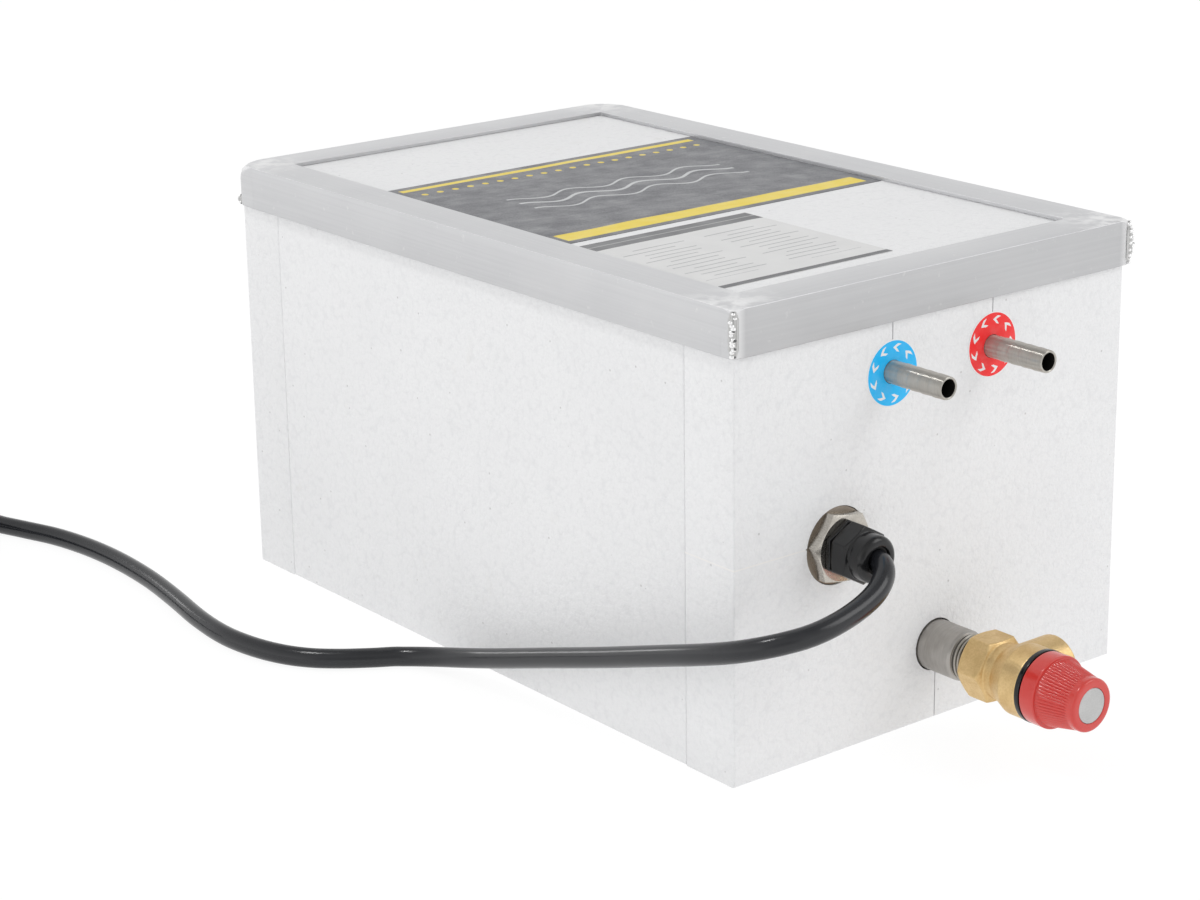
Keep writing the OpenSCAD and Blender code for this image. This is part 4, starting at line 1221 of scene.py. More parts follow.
@dataclass
class SupplyLead:
    """Round rubber lead with its coil, strap and moulded plug."""

    diameter: float = 0.009
    length: float = 1.455
    exit: Point = (-0.0555, -0.2026, 0.091)
    coil_x: float = -0.261
    coil_y: float = 0.317
    coil_r: float = 0.057
    coil_step: float = 0.011
    coil_rise: float = 0.010
    coil_z: float = 0.0058
    first_angle: float = 24.5
    reverse: float = 0.5
    plug_z: float = 0.0185
    strap_w: float = 0.010
    strap_t: float = 0.001
    strap_at: float = 0.75
    strap_bend: float = 0.0025
    route: tuple[Point, ...] = (
        (-0.0555, -0.1966, 0.091), (-0.0555, -0.2014, 0.091), (-0.0565, -0.2049, 0.0908),
        (-0.0596, -0.2095, 0.0892), (-0.0642, -0.213, 0.087), (-0.0698, -0.2153, 0.0845),
        (-0.0768, -0.2169, 0.0823), (-0.0855, -0.2183, 0.0804), (-0.096, -0.2192, 0.0787),
        (-0.1065, -0.218, 0.0769), (-0.116, -0.214, 0.0751), (-0.1235, -0.2065, 0.0724),
        (-0.1278, -0.195, 0.0684), (-0.1295, -0.178, 0.0628), (-0.129, -0.155, 0.0552),
        (-0.127, -0.115, 0.0417), (-0.1255, -0.075, 0.0288), (-0.125, -0.042, 0.0183),
        (-0.1255, -0.018, 0.0112), (-0.129, 0.003, 0.0062), (-0.1375, 0.0165, 0.0045),
        (-0.149, 0.0245, 0.0045), (-0.1605, 0.033, 0.0045), (-0.1705, 0.043, 0.0045),
        (-0.178, 0.056, 0.0045), (-0.183, 0.073, 0.0045), (-0.185, 0.093, 0.0045),
        (-0.183, 0.118, 0.0045), (-0.178, 0.148, 0.0045), (-0.174, 0.178, 0.0045),
        (-0.1725, 0.209, 0.0045), (-0.174, 0.237, 0.0045), (-0.1785, 0.262, 0.0045),
        (-0.185, 0.281, 0.0045), (-0.191, 0.297, 0.0045),
    )

    @property
    def turns(self) -> float:
        """Number of turns in the coil."""
        return 2.0 + (180.0 - self.first_angle) / 360.0

    @property
    def layer(self) -> float:
        """Number of turns in each of the coil's two layers."""
        return (self.turns - self.reverse) / 2

    def coil_radius(self, turn: float) -> float:
        """Radius of the coil, which winds in, goes half round inside and winds out again.

        Args:
            turn: number of turns from its start.

        Returns:
            The radius there.
        """
        inner = self.coil_r - self.coil_step * self.layer
        if turn < self.layer:
            return self.coil_r - self.coil_step * turn
        return inner + self.coil_step * max(0.0, turn - self.layer - self.reverse)

    def coil_point(self, turn: float) -> Vector:
        """Point of the coil's middle line.

        Args:
            turn: number of turns from its start.

        Returns:
            The point there.
        """
        angle = math.radians(self.first_angle) + math.tau * turn
        radius = self.coil_radius(turn)
        climb = [(turn - self.layer) / self.reverse, (turn - self.turns + 0.4) / 0.4]
        first, second = (t * t * (3 - 2 * t) for t in (min(1.0, max(0.0, c)) for c in climb))
        rise = self.coil_rise * first + (self.plug_z - self.coil_z - self.coil_rise) * second
        place = Vector((self.coil_x, self.coil_y, self.coil_z + rise))
        return place + Vector((radius * math.cos(angle), radius * math.sin(angle), 0.0))

    def path(self) -> list[Vector]:
        """Route of the lead from the gland to the plug.

        Returns:
            The points of its middle line.
        """
        angle = math.radians(self.first_angle)
        ahead = Vector((-math.sin(angle), math.cos(angle), 0.0))
        start = self.coil_point(0.0)
        entry = [start - ahead * self.diameter * k for k in (3, 2, 1)]
        count = round(self.turns * 24)
        coil = [self.coil_point(self.turns * i / count) for i in range(count + 1)]
        end = coil[-1] - Vector((0.0, self.diameter, 0.0))
        points = [Vector(p) for p in self.route] + entry + coil + [end]
        low = self.diameter / 2
        return [Vector((p.x, p.y, max(p.z, low))) for p in points]

    def cord(self) -> bpy.types.Curve:
        """Lead with a round section.

        Returns:
            Its curve.
        """
        points = self.path()
        data = bpy.data.curves.new("supply_lead", "CURVE")
        data.dimensions = "3D"
        data.bevel_depth = self.diameter / 2
        data.bevel_resolution = 6
        data.resolution_u = 6
        data.use_fill_caps = True
        spline = data.splines.new("BEZIER")
        spline.bezier_points.add(len(points) - 1)
        low = self.diameter / 2
        for index, knot in enumerate(spline.bezier_points):
            before = points[max(index - 1, 0)]
            after = points[min(index + 1, len(points) - 1)]
            lean = (after - before) / 6
            knot.handle_left_type = "FREE"
            knot.handle_right_type = "FREE"
            knot.co = points[index]
            left = points[index] - lean
            right = points[index] + lean
            knot.handle_left = (left.x, left.y, max(left.z, low))
            knot.handle_right = (right.x, right.y, max(right.z, low))
        return data

    def strap(self) -> bpy.types.Mesh:
        """Strap wound once round the two strands, with its end lapped over the outside.

        Returns:
            Its mesh, with a UV map along and across it.
        """
        angle = math.radians(self.first_angle) + math.tau * self.strap_at
        low_r = self.coil_radius(self.strap_at)
        high_r = self.coil_radius(self.strap_at + 1.0)
        outward = Vector((math.cos(angle), math.sin(angle), 0.0))
        along = Vector((-math.sin(angle), math.cos(angle), 0.0))
        half_w = (abs(high_r - low_r) + self.diameter + 0.001 + self.strap_t) / 2
        half_h = (self.coil_rise + self.diameter + 0.0008 + self.strap_t) / 2
        middle = Vector((self.coil_x, self.coil_y, half_h + self.strap_t / 2))
        middle += outward * (low_r + high_r) / 2
        bend = self.strap_bend
        loop: list[tuple[float, float, float]] = []
        for quarter in range(4):
            across = half_w - bend if quarter in (0, 3) else bend - half_w
            height = half_h - bend if quarter in (0, 1) else bend - half_h
            for step in range(7):
                a = math.pi / 2 * (quarter + step / 6)
                loop.append((across + bend * math.cos(a), height + bend * math.sin(a), a))
        lap = [(half_w + 0.00105, half_h * t, 0.0) for t in (-0.55, -0.3, 0.0, 0.3)]
        side = [(half_w, half_h * t, 0.0) for t in (0.0, 0.3)]
        line = side + loop + [(half_w + 0.0003, -half_h * 0.72, 0.0)] + lap
        shape = bmesh.new()
        cloth = shape.loops.layers.uv.new("strap")
        rings = []
        spent = 0.0
        for index, (across, height, a) in enumerate(line):
            if index:
                spent += math.dist((across, height), line[index - 1][:2])
            normal = outward * math.cos(a) + Vector((0.0, 0.0, math.sin(a)))
            centre = middle + outward * across + Vector((0.0, 0.0, height))
            corners = []
            for w, t in ((-1, -1), (-0.94, 1), (0.94, 1), (1, -1)):
                place = centre + along * (w * self.strap_w / 2) + normal * (t * self.strap_t / 2)
                corners.append((shape.verts.new(place), spent, w * self.strap_w / 2))
            rings.append(corners)
        for first, second in zip(rings, rings[1:]):
            for k in range(4):
                quad = (first[k], first[(k + 1) % 4], second[(k + 1) % 4], second[k])
                face = shape.faces.new([corner[0] for corner in quad])
                for loop_corner, (_, u, v) in zip(face.loops, quad):
                    loop_corner[cloth].uv = (u, v)
        for ring in (rings[0], rings[-1]):
            shape.faces.new([corner[0] for corner in ring])
        bmesh.ops.recalc_face_normals(shape, faces=shape.faces)
        return to_mesh(shape, "coil_strap", 50.0)

    def sleeve_rings(self, bench: Bench, axis: Axis) -> bpy.types.Mesh:
        """Rings moulded round the plug's tapered sleeve.

        Args:
            bench: nodes and finishes.
            axis: axis of the plug.

        Returns:
            The rings.
        """
        recipe = Recipe("sleeve_rings")
        count = recipe.takes("Rings", Input.COUNT)
        pitch = recipe.takes("Pitch", Input.LENGTH)
        radius = recipe.takes("First radius", Input.LENGTH)
        growth = recipe.takes("Growth", Input.LENGTH)
        wire = recipe.takes("Ring thickness", Input.LENGTH)
        place = recipe.takes("Place", Input.PLACE)
        gap = recipe.node("ShaderNodeCombineXYZ", {"Z": pitch})
        line = recipe.node("GeometryNodeMeshLine", {"Count": count, "Offset": gap.outputs[0]})
        ring = recipe.node("GeometryNodeCurvePrimitiveCircle", {"Resolution": 48, "Radius": radius})
        section = recipe.node("GeometryNodeCurvePrimitiveCircle", {"Resolution": 8, "Radius": wire})
        tube = recipe.node("GeometryNodeCurveToMesh", {0: ring.outputs[0], 1: section.outputs[0]})
        index = recipe.node("GeometryNodeInputIndex", {}).outputs[0]
        size = recipe.maths("ADD", 1.0, recipe.maths("MULTIPLY", index, growth))
        scale = recipe.node("ShaderNodeCombineXYZ", {"X": size, "Y": size, "Z": 1.0})
        inputs = {"Points": line.outputs[0], "Instance": tube.outputs[0], "Scale": scale.outputs[0]}
        row = recipe.node("GeometryNodeInstanceOnPoints", inputs)
        inputs = {"Geometry": row.outputs[0], "Translation": place, "Rotation": (math.pi / 2, 0.0, 0.0)}
        laid = recipe.node("GeometryNodeTransform", inputs)
        recipe.ends(laid.outputs[0], bench.finishes.plug)
        return recipe.mesh({
            "Rings": 6, "Pitch": 0.0026, "First radius": 0.0061, "Growth": 0.033, "Ring thickness": 0.0006,
            "Place": axis.point(0.0028, 0.0, 0.0),
        })

    def build(self, bench: Bench) -> None:
        """Makes the lead, its strap and its plug.

        Args:
            bench: nodes and finishes.
        """
        finishes = bench.finishes
        strands = ["cord_free", "cord_coil"]
        lead = bench.put("supply_lead", self.cord(), [finishes.cable], strands)
        strap = bench.put("coil_strap", self.strap(), [finishes.strap], ["coil_tie"])
        end = self.path()[-1]
        axis = Axis(end.x, end.z, end.y)
        shell = bench.forged("plug_body", 0.0005, 4)
        mesh = joined("moulded_plug", [shell, self.sleeve_rings(bench, axis)])
        plug = bench.put("moulded_plug", mesh, [finishes.plug, finishes.plug], ["plug_body"])
        bench.dress("plug_pins", finishes.pins)
        springs = bench.softened("plug_earth_clips", 0.0002)
        clips = bench.put("earth_clips", springs, [finishes.brass], ["plug_earth_clips"])


@dataclass
class FoamBox:
    """Foam boards round the tank."""

    edge: float = 0.0009
    rounded_from: float = 0.075
    glue_from: Point = (-0.11102, FRONT_Y - 0.00002, 0.09271)
    glue_to: Point = (-0.0728, FRONT_Y + 0.0299, 0.09329)
    boards: tuple[str, ...] = (
        "front_panel", "back_panel", "left_panel", "right_panel", "top_panel", "bottom_panel",
    )

    def glue_line(self) -> bpy.types.Mesh:
        """Line of glue in the slit left of the heater.

        Returns:
            Its mesh.
        """
        low, high = self.glue_from, self.glue_to
        corners = ((low[1], low[2]), (high[1], low[2]), (high[1], high[2]), (low[1], high[2]))
        rings = [[Vector((x, y, z)) for y, z in corners] for x in (low[0], high[0])]
        return to_mesh(swept(rings), "glue_line", 60.0)

    def build(self, bench: Bench) -> None:
        """Rounds the boards' long edges and dresses them.

        Args:
            bench: nodes and finishes.
        """
        finishes = bench.finishes
        for board in self.boards:
            mesh = to_mesh(bench.eased(board, self.edge, self.rounded_from), board + "_foam")
            if board == "front_panel":
                mesh = joined(board + "_foam", [mesh, self.glue_line()])
            bench.put(board + "_foam", mesh, [finishes.foam, finishes.glue], [board])


@dataclass(frozen=True)
class BumpRow:
    """One row of bumps on a weld, in shares of the weld's planned count and sizes."""

    number: float
    closeness: float
    radius: float
    bulge: float
    sway: Point
    seed: int


@dataclass
class AngleFrame:
    """Mitred aluminium angle with a rounded weld at each corner."""

    edge: float = 0.0004
    half_width: float = 0.113
    half_length: float = 0.180
    top: float = 0.200
    height: float = 0.020
    thick: float = 0.002
    front_round: float = 0.0022
    back_round: float = 0.0055
    front_leg: float = 0.0050
    back_leg: float = 0.0090
    front_dome: float = 0.0018
    back_dome: float = 0.0065
    bead: float = 0.00116
    pitch: float = 0.0021
    bulge: float = 0.0010
    crown: BumpRow = BumpRow(1.45, 1.5, 0.85, 1.5, (0.0002, 0.0011, 0.0004), 3)
    # Row of near-black bumps: painted dark reflection.
    painted_dark_spots: BumpRow = BumpRow(0.6, 0.6, 0.6, 1.75, (0.0002, 0.0009, 0.0008), 11)
    flank: BumpRow = BumpRow(0.75, 0.78, 0.8, 0.5, (0.0003, 0.0003, 0.0005), 27)
    flank_off: float = 0.00125
    rails: tuple[tuple[str, Run], ...] = (
        ("frame_rail_front", Run.ALONG_X), ("frame_rail_back", Run.ALONG_X),
        ("frame_rail_left", Run.ALONG_Y), ("frame_rail_right", Run.ALONG_Y),
    )
    corners: tuple[tuple[int, int, int], ...] = ((-1, -1, 9), (1, -1, 9), (1, 1, 2), (-1, 1, 2))

    def round(self, sy: float) -> float:
        """Radius of the corners at the front or at the back, where they are ground smooth."""
        return self.front_round if sy < 0 else self.back_round

    def leg(self, sy: float) -> float:
        """Length of rail beside a front or back corner over which its top edge is worn round."""
        return self.front_leg if sy < 0 else self.back_leg

    def rail(self, bench: Bench, node: str, run: Run) -> bpy.types.Mesh:
        """One rail with rounded edges, cut back to where its welded corners start.

        Args:
            bench: nodes and finishes.
            node: name of the CAD rail.
            run: direction of the rail.

        Returns:
            The rail.
        """
        shape = bench.eased(node, self.edge, 5 * self.height)
        along_x = run is Run.ALONG_X
        way = Vector((1.0, 0.0, 0.0)) if along_x else Vector((0.0, 1.0, 0.0))
        outer = self.half_width if along_x else self.half_length
        for side in (-1.0, 1.0):
            end = -1.0 if node.endswith("front") else 1.0 if along_x else side
            reach = outer - self.round(end) - self.leg(end)
            parts = [*shape.verts, *shape.edges, *shape.faces]
            cut = bmesh.ops.bisect_plane(
                shape, geom=parts, plane_co=way * reach * side, plane_no=way * side, clear_outer=True
            )
            rim = [part for part in cut["geom_cut"] if isinstance(part, bmesh.types.BMEdge)]
            bmesh.ops.holes_fill(shape, edges=rim, sides=0)
        return to_mesh(shape, node + "_angle", 40.0)

    def bead_recipe(self, material: bpy.types.Material) -> Recipe:
        """Recipe for a row of molten bumps along Z.

        Args:
            material: finish of the bumps.

        Returns:
            The recipe.
        """
        recipe = Recipe("weld_bumps")
        count = recipe.takes("Bumps", Input.COUNT)
        pitch = recipe.takes("Pitch", Input.LENGTH)
        radius = recipe.takes("Radius", Input.LENGTH)
        sway = recipe.takes("Sway", Input.PLACE)
        bulge = recipe.takes("Bulge", Input.LENGTH)
        seed = recipe.takes("Seed", Input.COUNT)
        gap = recipe.node("ShaderNodeCombineXYZ", {"Z": pitch})
        line = recipe.node("GeometryNodeMeshLine", {"Count": count, "Offset": gap.outputs[0]})
        drift = recipe.jitter((-1.0, -1.0, -1.0), (1.0, 1.0, 1.0), seed, "FLOAT_VECTOR")
        shift = recipe.node("ShaderNodeVectorMath", {0: drift, 1: sway}, operation="MULTIPLY").outputs[0]
        index = recipe.node("GeometryNodeInputIndex", {}).outputs[0]
        share = recipe.maths("DIVIDE", index, recipe.maths("SUBTRACT", count, 1.0))
        from_middle = recipe.maths("ABSOLUTE", recipe.maths("MULTIPLY_ADD", share, 2.0, -1.0))
        off = recipe.maths("POWER", from_middle, 3.0)
        proud = recipe.maths("MULTIPLY", recipe.maths("SUBTRACT", 1.0, off), bulge)
        swell = recipe.node("ShaderNodeCombineXYZ", {"X": proud}).outputs[0]
        both = recipe.node("ShaderNodeVectorMath", {0: shift, 1: swell}, operation="ADD")
        inputs = {"Geometry": line.outputs[0], "Offset": both.outputs[0]}
        moved = recipe.node("GeometryNodeSetPosition", inputs)
        bump = recipe.node("GeometryNodeMeshIcoSphere", {"Radius": radius, "Subdivisions": 4})
        grown = recipe.jitter(0.76, 1.14, seed)
        flat = recipe.maths("MULTIPLY", grown, 0.82)
        scale = recipe.node("ShaderNodeCombineXYZ", {"X": grown, "Y": grown, "Z": flat})
        inputs = {"Points": moved.outputs[0], "Instance": bump.outputs[0], "Scale": scale.outputs[0]}
        recipe.ends(recipe.node("GeometryNodeInstanceOnPoints", inputs).outputs[0], material)
        return recipe

    def bend(self, sy: float, side: int, seed: int) -> bpy.types.Mesh:
        """Half of a melted and sanded corner, standing at the origin and looking along X.

        Args:
            sy: front or back corner.
            side: half of the corner, left or right of X.
            seed: gives each corner its own unevenness.

        Returns:
            The half corner with its leg.
        """
        radius, leg = self.round(sy), self.leg(sy)
        dome = self.front_dome if sy < 0 else self.back_dome
        half = leg + radius * math.pi / 4
        low = self.height - self.thick
        heart = Vector((-leg * math.sqrt(2.0), 0.0, 0.0))
        rings = []
        for step in range(25):
            run = side * (half + 0.00005) * step / 24
            angle = max(-math.pi / 4, min(math.pi / 4, run / radius))
            way = Vector((math.cos(angle), math.sin(angle), 0.0))
            base = Vector((-math.sin(angle), math.cos(angle), 0.0)) * (run - radius * angle)
            share = 0.5 + 0.5 * math.cos(math.pi * min(1.0, abs(run) / half))
            corners = [(0.0, radius - self.thick, 0.0), (0.0, radius, 0.0004 + 0.0015 * share)]
            corners += [(self.height * k / 12, radius, 0.0) for k in range(2, 8)]
            drop = self.edge + dome * share
            back = self.edge * (1.0 - share) + 0.95 * radius * share
            for k in range(9):
                arc = math.pi / 2 * k / 8
                reach = radius - back + back * math.cos(arc)
                corners.append((self.height - drop + drop * math.sin(arc), reach, 0.0))
            ring = []
            for height, reach in filleted(corners):
                wobble = noise.noise(way * 3.0 + Vector((run * 150.0, 0.0, height * 330.0 + seed * 5.3)))
                ring.append(base + way * (reach + 0.00008 * share * wobble) + Vector((0.0, 0.0, height)))
            ring += [heart + Vector((0.0, 0.0, self.height)), heart + Vector((0.0, 0.0, low))]
            ring.append(base + way * (radius - self.thick) + Vector((0.0, 0.0, low)))
            rings.append(ring)
        return to_mesh(swept(rings), "corner_bend", 60.0)

    def ridge(self, radius: float, count: int, wide: float, high: float) -> bpy.types.Mesh:
        """Raised seam under the bumps of a corner.

        Args:
            radius: radius of the corner.
            count: number of bumps on it.
            wide: its half width, as a share of a bump's radius.
            high: its height, as a share of the row's bulge.

        Returns:
            The seam.
        """
        length = 0.0016 + self.pitch * (count - 1)
        rings = []
        for step in range(13):
            t = step / 12
            proud = high * self.bulge * (1.0 - abs(2 * t - 1) ** 3)
            half = wide * self.bead * (0.55 + 0.45 * min(1.0, 6 * t, 6 - 6 * t))
            ring = []
            for k in range(9):
                angle = math.radians(-90.0 + 22.5 * k)
                out = (0.0003 + proud) * math.cos(angle) if 0 < k < 8 else -0.0008
                ring.append(Vector((radius + out, half * math.sin(angle), 0.0008 + length * t)))
            rings.append(ring)
        return to_mesh(swept(rings), "weld_ridge", 60.0)

    def row(self, recipe: Recipe, kind: BumpRow, count: int, turn: int) -> bpy.types.Mesh:
        """Row of bumps on the middle of a weld.

        Args:
            recipe: recipe of a row of bumps.
            kind: what the row is like.
            count: number of bumps the weld is planned for.
            turn: added to the row's seed.

        Returns:
            The row.
        """
        return recipe.mesh({
            "Bumps": max(2, round(kind.number * count)), "Pitch": self.pitch / kind.closeness,
            "Radius": kind.radius * self.bead, "Sway": kind.sway, "Bulge": kind.bulge * self.bulge,
            "Seed": kind.seed + turn,
        })

    def spread_row(self, recipe: Recipe, count: int, side: int) -> bpy.types.Mesh:
        """Row of smaller bumps on one flank of a weld, for the corners whose weld spread wide.

        Args:
            recipe: recipe of a row of bumps.
            count: number of bumps the weld is planned for.
            side: side of the weld, -1 or 1.

        Returns:
            The row, beside the middle of the weld.
        """
        made = self.row(recipe, self.flank, count, 5 * side)
        made.transform(Matrix.Translation((0.0, side * self.flank_off, 0.0)))
        return made

    def build(self, bench: Bench) -> None:
        """Dresses the rails and lays the welds.

        Args:
            bench: nodes and finishes.
        """
        finishes = bench.finishes
        for rail, run in self.rails:
            material = finishes.angle_across if run is Run.ALONG_X else finishes.angle_along
            bench.put(rail + "_angle", self.rail(bench, rail, run), [material], [rail])
        recipe = self.bead_recipe(finishes.weld_bead)
        welds = bmesh.new()
        for index, (sx, sy, count) in enumerate(self.corners):
            radius = self.round(sy)
            bumps = self.row(recipe, self.crown, count, index)
            # Near-black bumps: painted dark reflection.
            painted_dark_spots = self.row(recipe, self.painted_dark_spots, count, index)
            if sx > 0:
                sides = [self.spread_row(recipe, count, side) for side in (-1, 1)]
                bumps = joined("weld_row", [bumps, *sides])
            for row in (bumps, painted_dark_spots):
                row.transform(Matrix.Translation((radius + 0.0001, 0.0, 0.0016)))
            across = 1 if sx * sy > 0 else -1
            mesh = joined("corner_weld", [
                self.bend(sy, across, index), self.bend(sy, -across, index), bumps, painted_dark_spots,
                self.ridge(radius, count, 1.2, 1.55), self.ridge(radius, count, 1.85, 0.1),
            ])
            x, y = sx * (self.half_width - radius), sy * (self.half_length - radius)
            middle = Matrix.Translation((x, y, self.top - self.height))
            mesh.transform(middle @ Matrix.Rotation(math.atan2(sy, sx), 4, "Z"))
            welds.from_mesh(mesh)
        mesh = to_mesh(welds, "corner_weld_beads", 60.0)
        materials = [
            finishes.angle_across, finishes.angle_along, finishes.weld_bead, finishes.weld_pit,
            finishes.weld_ridge, finishes.weld_toe,
        ]
        bench.put("corner_weld_beads", mesh, materials, ["corner_welds"])


@dataclass
class Films:
    """Printed films on the lid and round the hose tails."""

    ripple: float = 0.00022
    pitch: float = 0.002
    across_waves: float = 38.0
    along_waves: float = 62.0
    ring_hole: float = 0.0050
    ring_outer: float = 0.0141
    cold_rise: float = -0.0006
    hot_rise: float = 0.0007

    def sheet(self, node: str) -> bpy.types.Mesh:
        """Thin film with slight ripples, in the place of a flat label.

        Args:
            node: name of the CAD label.

        Returns:
            The closed film.
        """
        low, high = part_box(node)
        columns = round((high.x - low.x) / self.pitch)
        rows = round((high.y - low.y) / self.pitch)
        shape = bmesh.new()
        layers: list[list[list[bmesh.types.BMVert]]] = []
        for top in (False, True):
            layer = []
            for i in range(columns + 1):
                line = []
                for j in range(rows + 1):
                    x = low.x + (high.x - low.x) * i / columns
                    y = low.y + (high.y - low.y) * j / rows
                    inset = min(i, columns - i, j, rows - j) / 4
                    swell = noise.noise(Vector((x * self.across_waves, y * self.along_waves, 4.0))) + 0.6
                    lift = self.ripple * max(0.0, swell) * min(1.0, inset)
                    line.append(shape.verts.new((x, y, high.z + lift if top else low.z)))
                layer.append(line)
            layers.append(layer)
        bottom, upper = layers
        for i in range(columns):
            for j in range(rows):
                shape.faces.new((upper[i][j], upper[i + 1][j], upper[i + 1][j + 1], upper[i][j + 1]))
                shape.faces.new((bottom[i][j], bottom[i][j + 1], bottom[i + 1][j + 1], bottom[i + 1][j]))
        edge = [(i, 0) for i in range(columns)] + [(columns, j) for j in range(rows)]
        edge += [(i, rows) for i in range(columns, 0, -1)] + [(0, j) for j in range(rows, 0, -1)]
        for (i, j), (k, m) in zip(edge, edge[1:] + edge[:1]):
            shape.faces.new((bottom[i][j], bottom[k][m], upper[k][m], upper[i][j]))
        bmesh.ops.recalc_face_normals(shape, faces=shape.faces)
        return to_mesh(shape, node + "_film")

    def ring(self, node: str, rise: float) -> bpy.types.Mesh:
        """Ring film stuck on a little high or low round its hole.

        Args:
            node: name of the CAD label.
            rise: height of the film's middle over the hole's.

        Returns:
            The closed film.
        """
        low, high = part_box(node)
        middle = (low + high) / 2
        outer = self.ring_outer
        rings = []
        for y, radius, off in (
            (high.y, self.ring_hole, 0.0), (low.y, self.ring_hole, 0.0), (low.y, outer - 0.0002, rise),
            (low.y + 0.00008, outer, rise), (high.y, outer, rise),
        ):
            ring = []
            for k in range(120):
                angle = math.tau * k / 120
                across = radius * math.cos(angle)
                up = off + radius * math.sin(angle)
                ring.append(Vector((middle.x + across, y, middle.z + up)))
            rings.append(ring)
        return to_mesh(ringed(rings), node + "_film", 50.0)

    def build(self, bench: Bench) -> None:
        """Lays the films.

        Args:
            bench: nodes and finishes.
        """
        finishes = bench.finishes
        bench.put("lid_film", self.sheet("top_label"), [finishes.panel_print], ["top_label"])
        bench.put("data_film", self.sheet("data_label"), [finishes.data_print], ["data_label"])
        for side, material, slot, rise in (
            ("cold", finishes.cold_print, "blue_film", self.cold_rise),
            ("hot", finishes.hot_print, "red_film", self.hot_rise),
        ):
            node = side + "_ring_label"
            bench.put(side + "_ring_film", self.ring(node, rise), [material], [node])


@dataclass
class HoseTails:
    """Cold and hot pipes: barbed tails outside the case, bent pipes inside the tank."""

    pipes: tuple[tuple[str, float, float], ...] = (
        ("cold_pipe", -0.0261, -0.1274), ("hot_pipe", 0.0313, 0.0183),
    )
    height: float = 0.1586
    out: float = 0.032
    plain: float = 0.0066
    barb: float = 0.0062
    crest: float = 0.00502
    root: float = 0.00484
    pipe: float = 0.0048
    bore: float = 0.0038
    bend: float = 0.014
    straight_end: float = 0.0549
    sides: int = 48

    def outside(self) -> list[tuple[float, float]]:
        """Outside of the pipe from the wall to the mouth.

        Returns:
            Distance out and radius of each point.
        """
        line = [(0.0, self.pipe), (self.plain - 0.0004, self.root)]
        start = self.plain
        while start + self.barb <= self.out + 0.0001:
            end = start + self.barb
            line += [(start, self.root), (start + 0.0007, self.crest - 0.00002)]
            line += [(start + 0.0014, self.crest)]
            line += [(end - 0.0012, self.root + 0.00004), (end - 0.0004, self.root)]
            start += self.barb
        line += [(self.out - 0.0004, self.root), (self.out - 0.0001, self.root - 0.00015)]
        line += [(self.out, self.root - 0.0004), (self.out, self.bore + 0.0003)]
        return line + [(self.out - 0.0003, self.bore)]

    def pipe_mesh(self, x: float, leg: float) -> bpy.types.Mesh:
        """One pipe with its tail.

        Args:
            x: place of the pipe across the case.
            leg: height of the inner end over the tail's axis.

        Returns:
            The pipe.
        """
        turn = 1.0 if leg > 0 else -1.0
        centre = Vector((x, FRONT_Y + self.straight_end, self.height + turn * self.bend))
        inner: list[tuple[Vector, Vector]] = []
        foot = Vector((x, FRONT_Y + self.straight_end + self.bend, self.height + leg))
        inner.append((foot, Vector((0.0, 1.0, 0.0))))
        for step in range(13):
            a = math.pi / 2 * step / 12
            normal = Vector((0.0, math.cos(a), -turn * math.sin(a)))
            inner.append((centre + normal * self.bend, normal))
        stations = [(place, normal, self.pipe) for place, normal in inner]
        down = Vector((0.0, 0.0, -turn))
        for out, radius in self.outside():
            stations.append((Vector((x, FRONT_Y - out, self.height)), down, radius))
        # The bore's rings take the second material, a near-black painted shade.
        zones = [0.0] * (len(stations) - 1) + [2.0] * (len(inner) + 1)
        stations += [(place, normal, self.bore) for place, normal in reversed(inner)]
        rings = []
        for place, normal, radius in stations:
            ring = []
            for k in range(self.sides):
                a = math.tau * k / self.sides
                ring.append(place + Vector((radius * math.cos(a), 0.0, 0.0)) + normal * radius * math.sin(a))
            rings.append(ring)
        return to_mesh(ringed(rings, zones), "hose_tail", 50.0)

    def build(self, bench: Bench) -> None:
        """Makes both pipes.

        Args:
            bench: nodes and finishes.
        """
        steels = [bench.finishes.bright_steel, bench.finishes.bore_steel]
        for name, x, leg in self.pipes:
            bench.put(name + "_tail", self.pipe_mesh(x, leg), steels, [name])


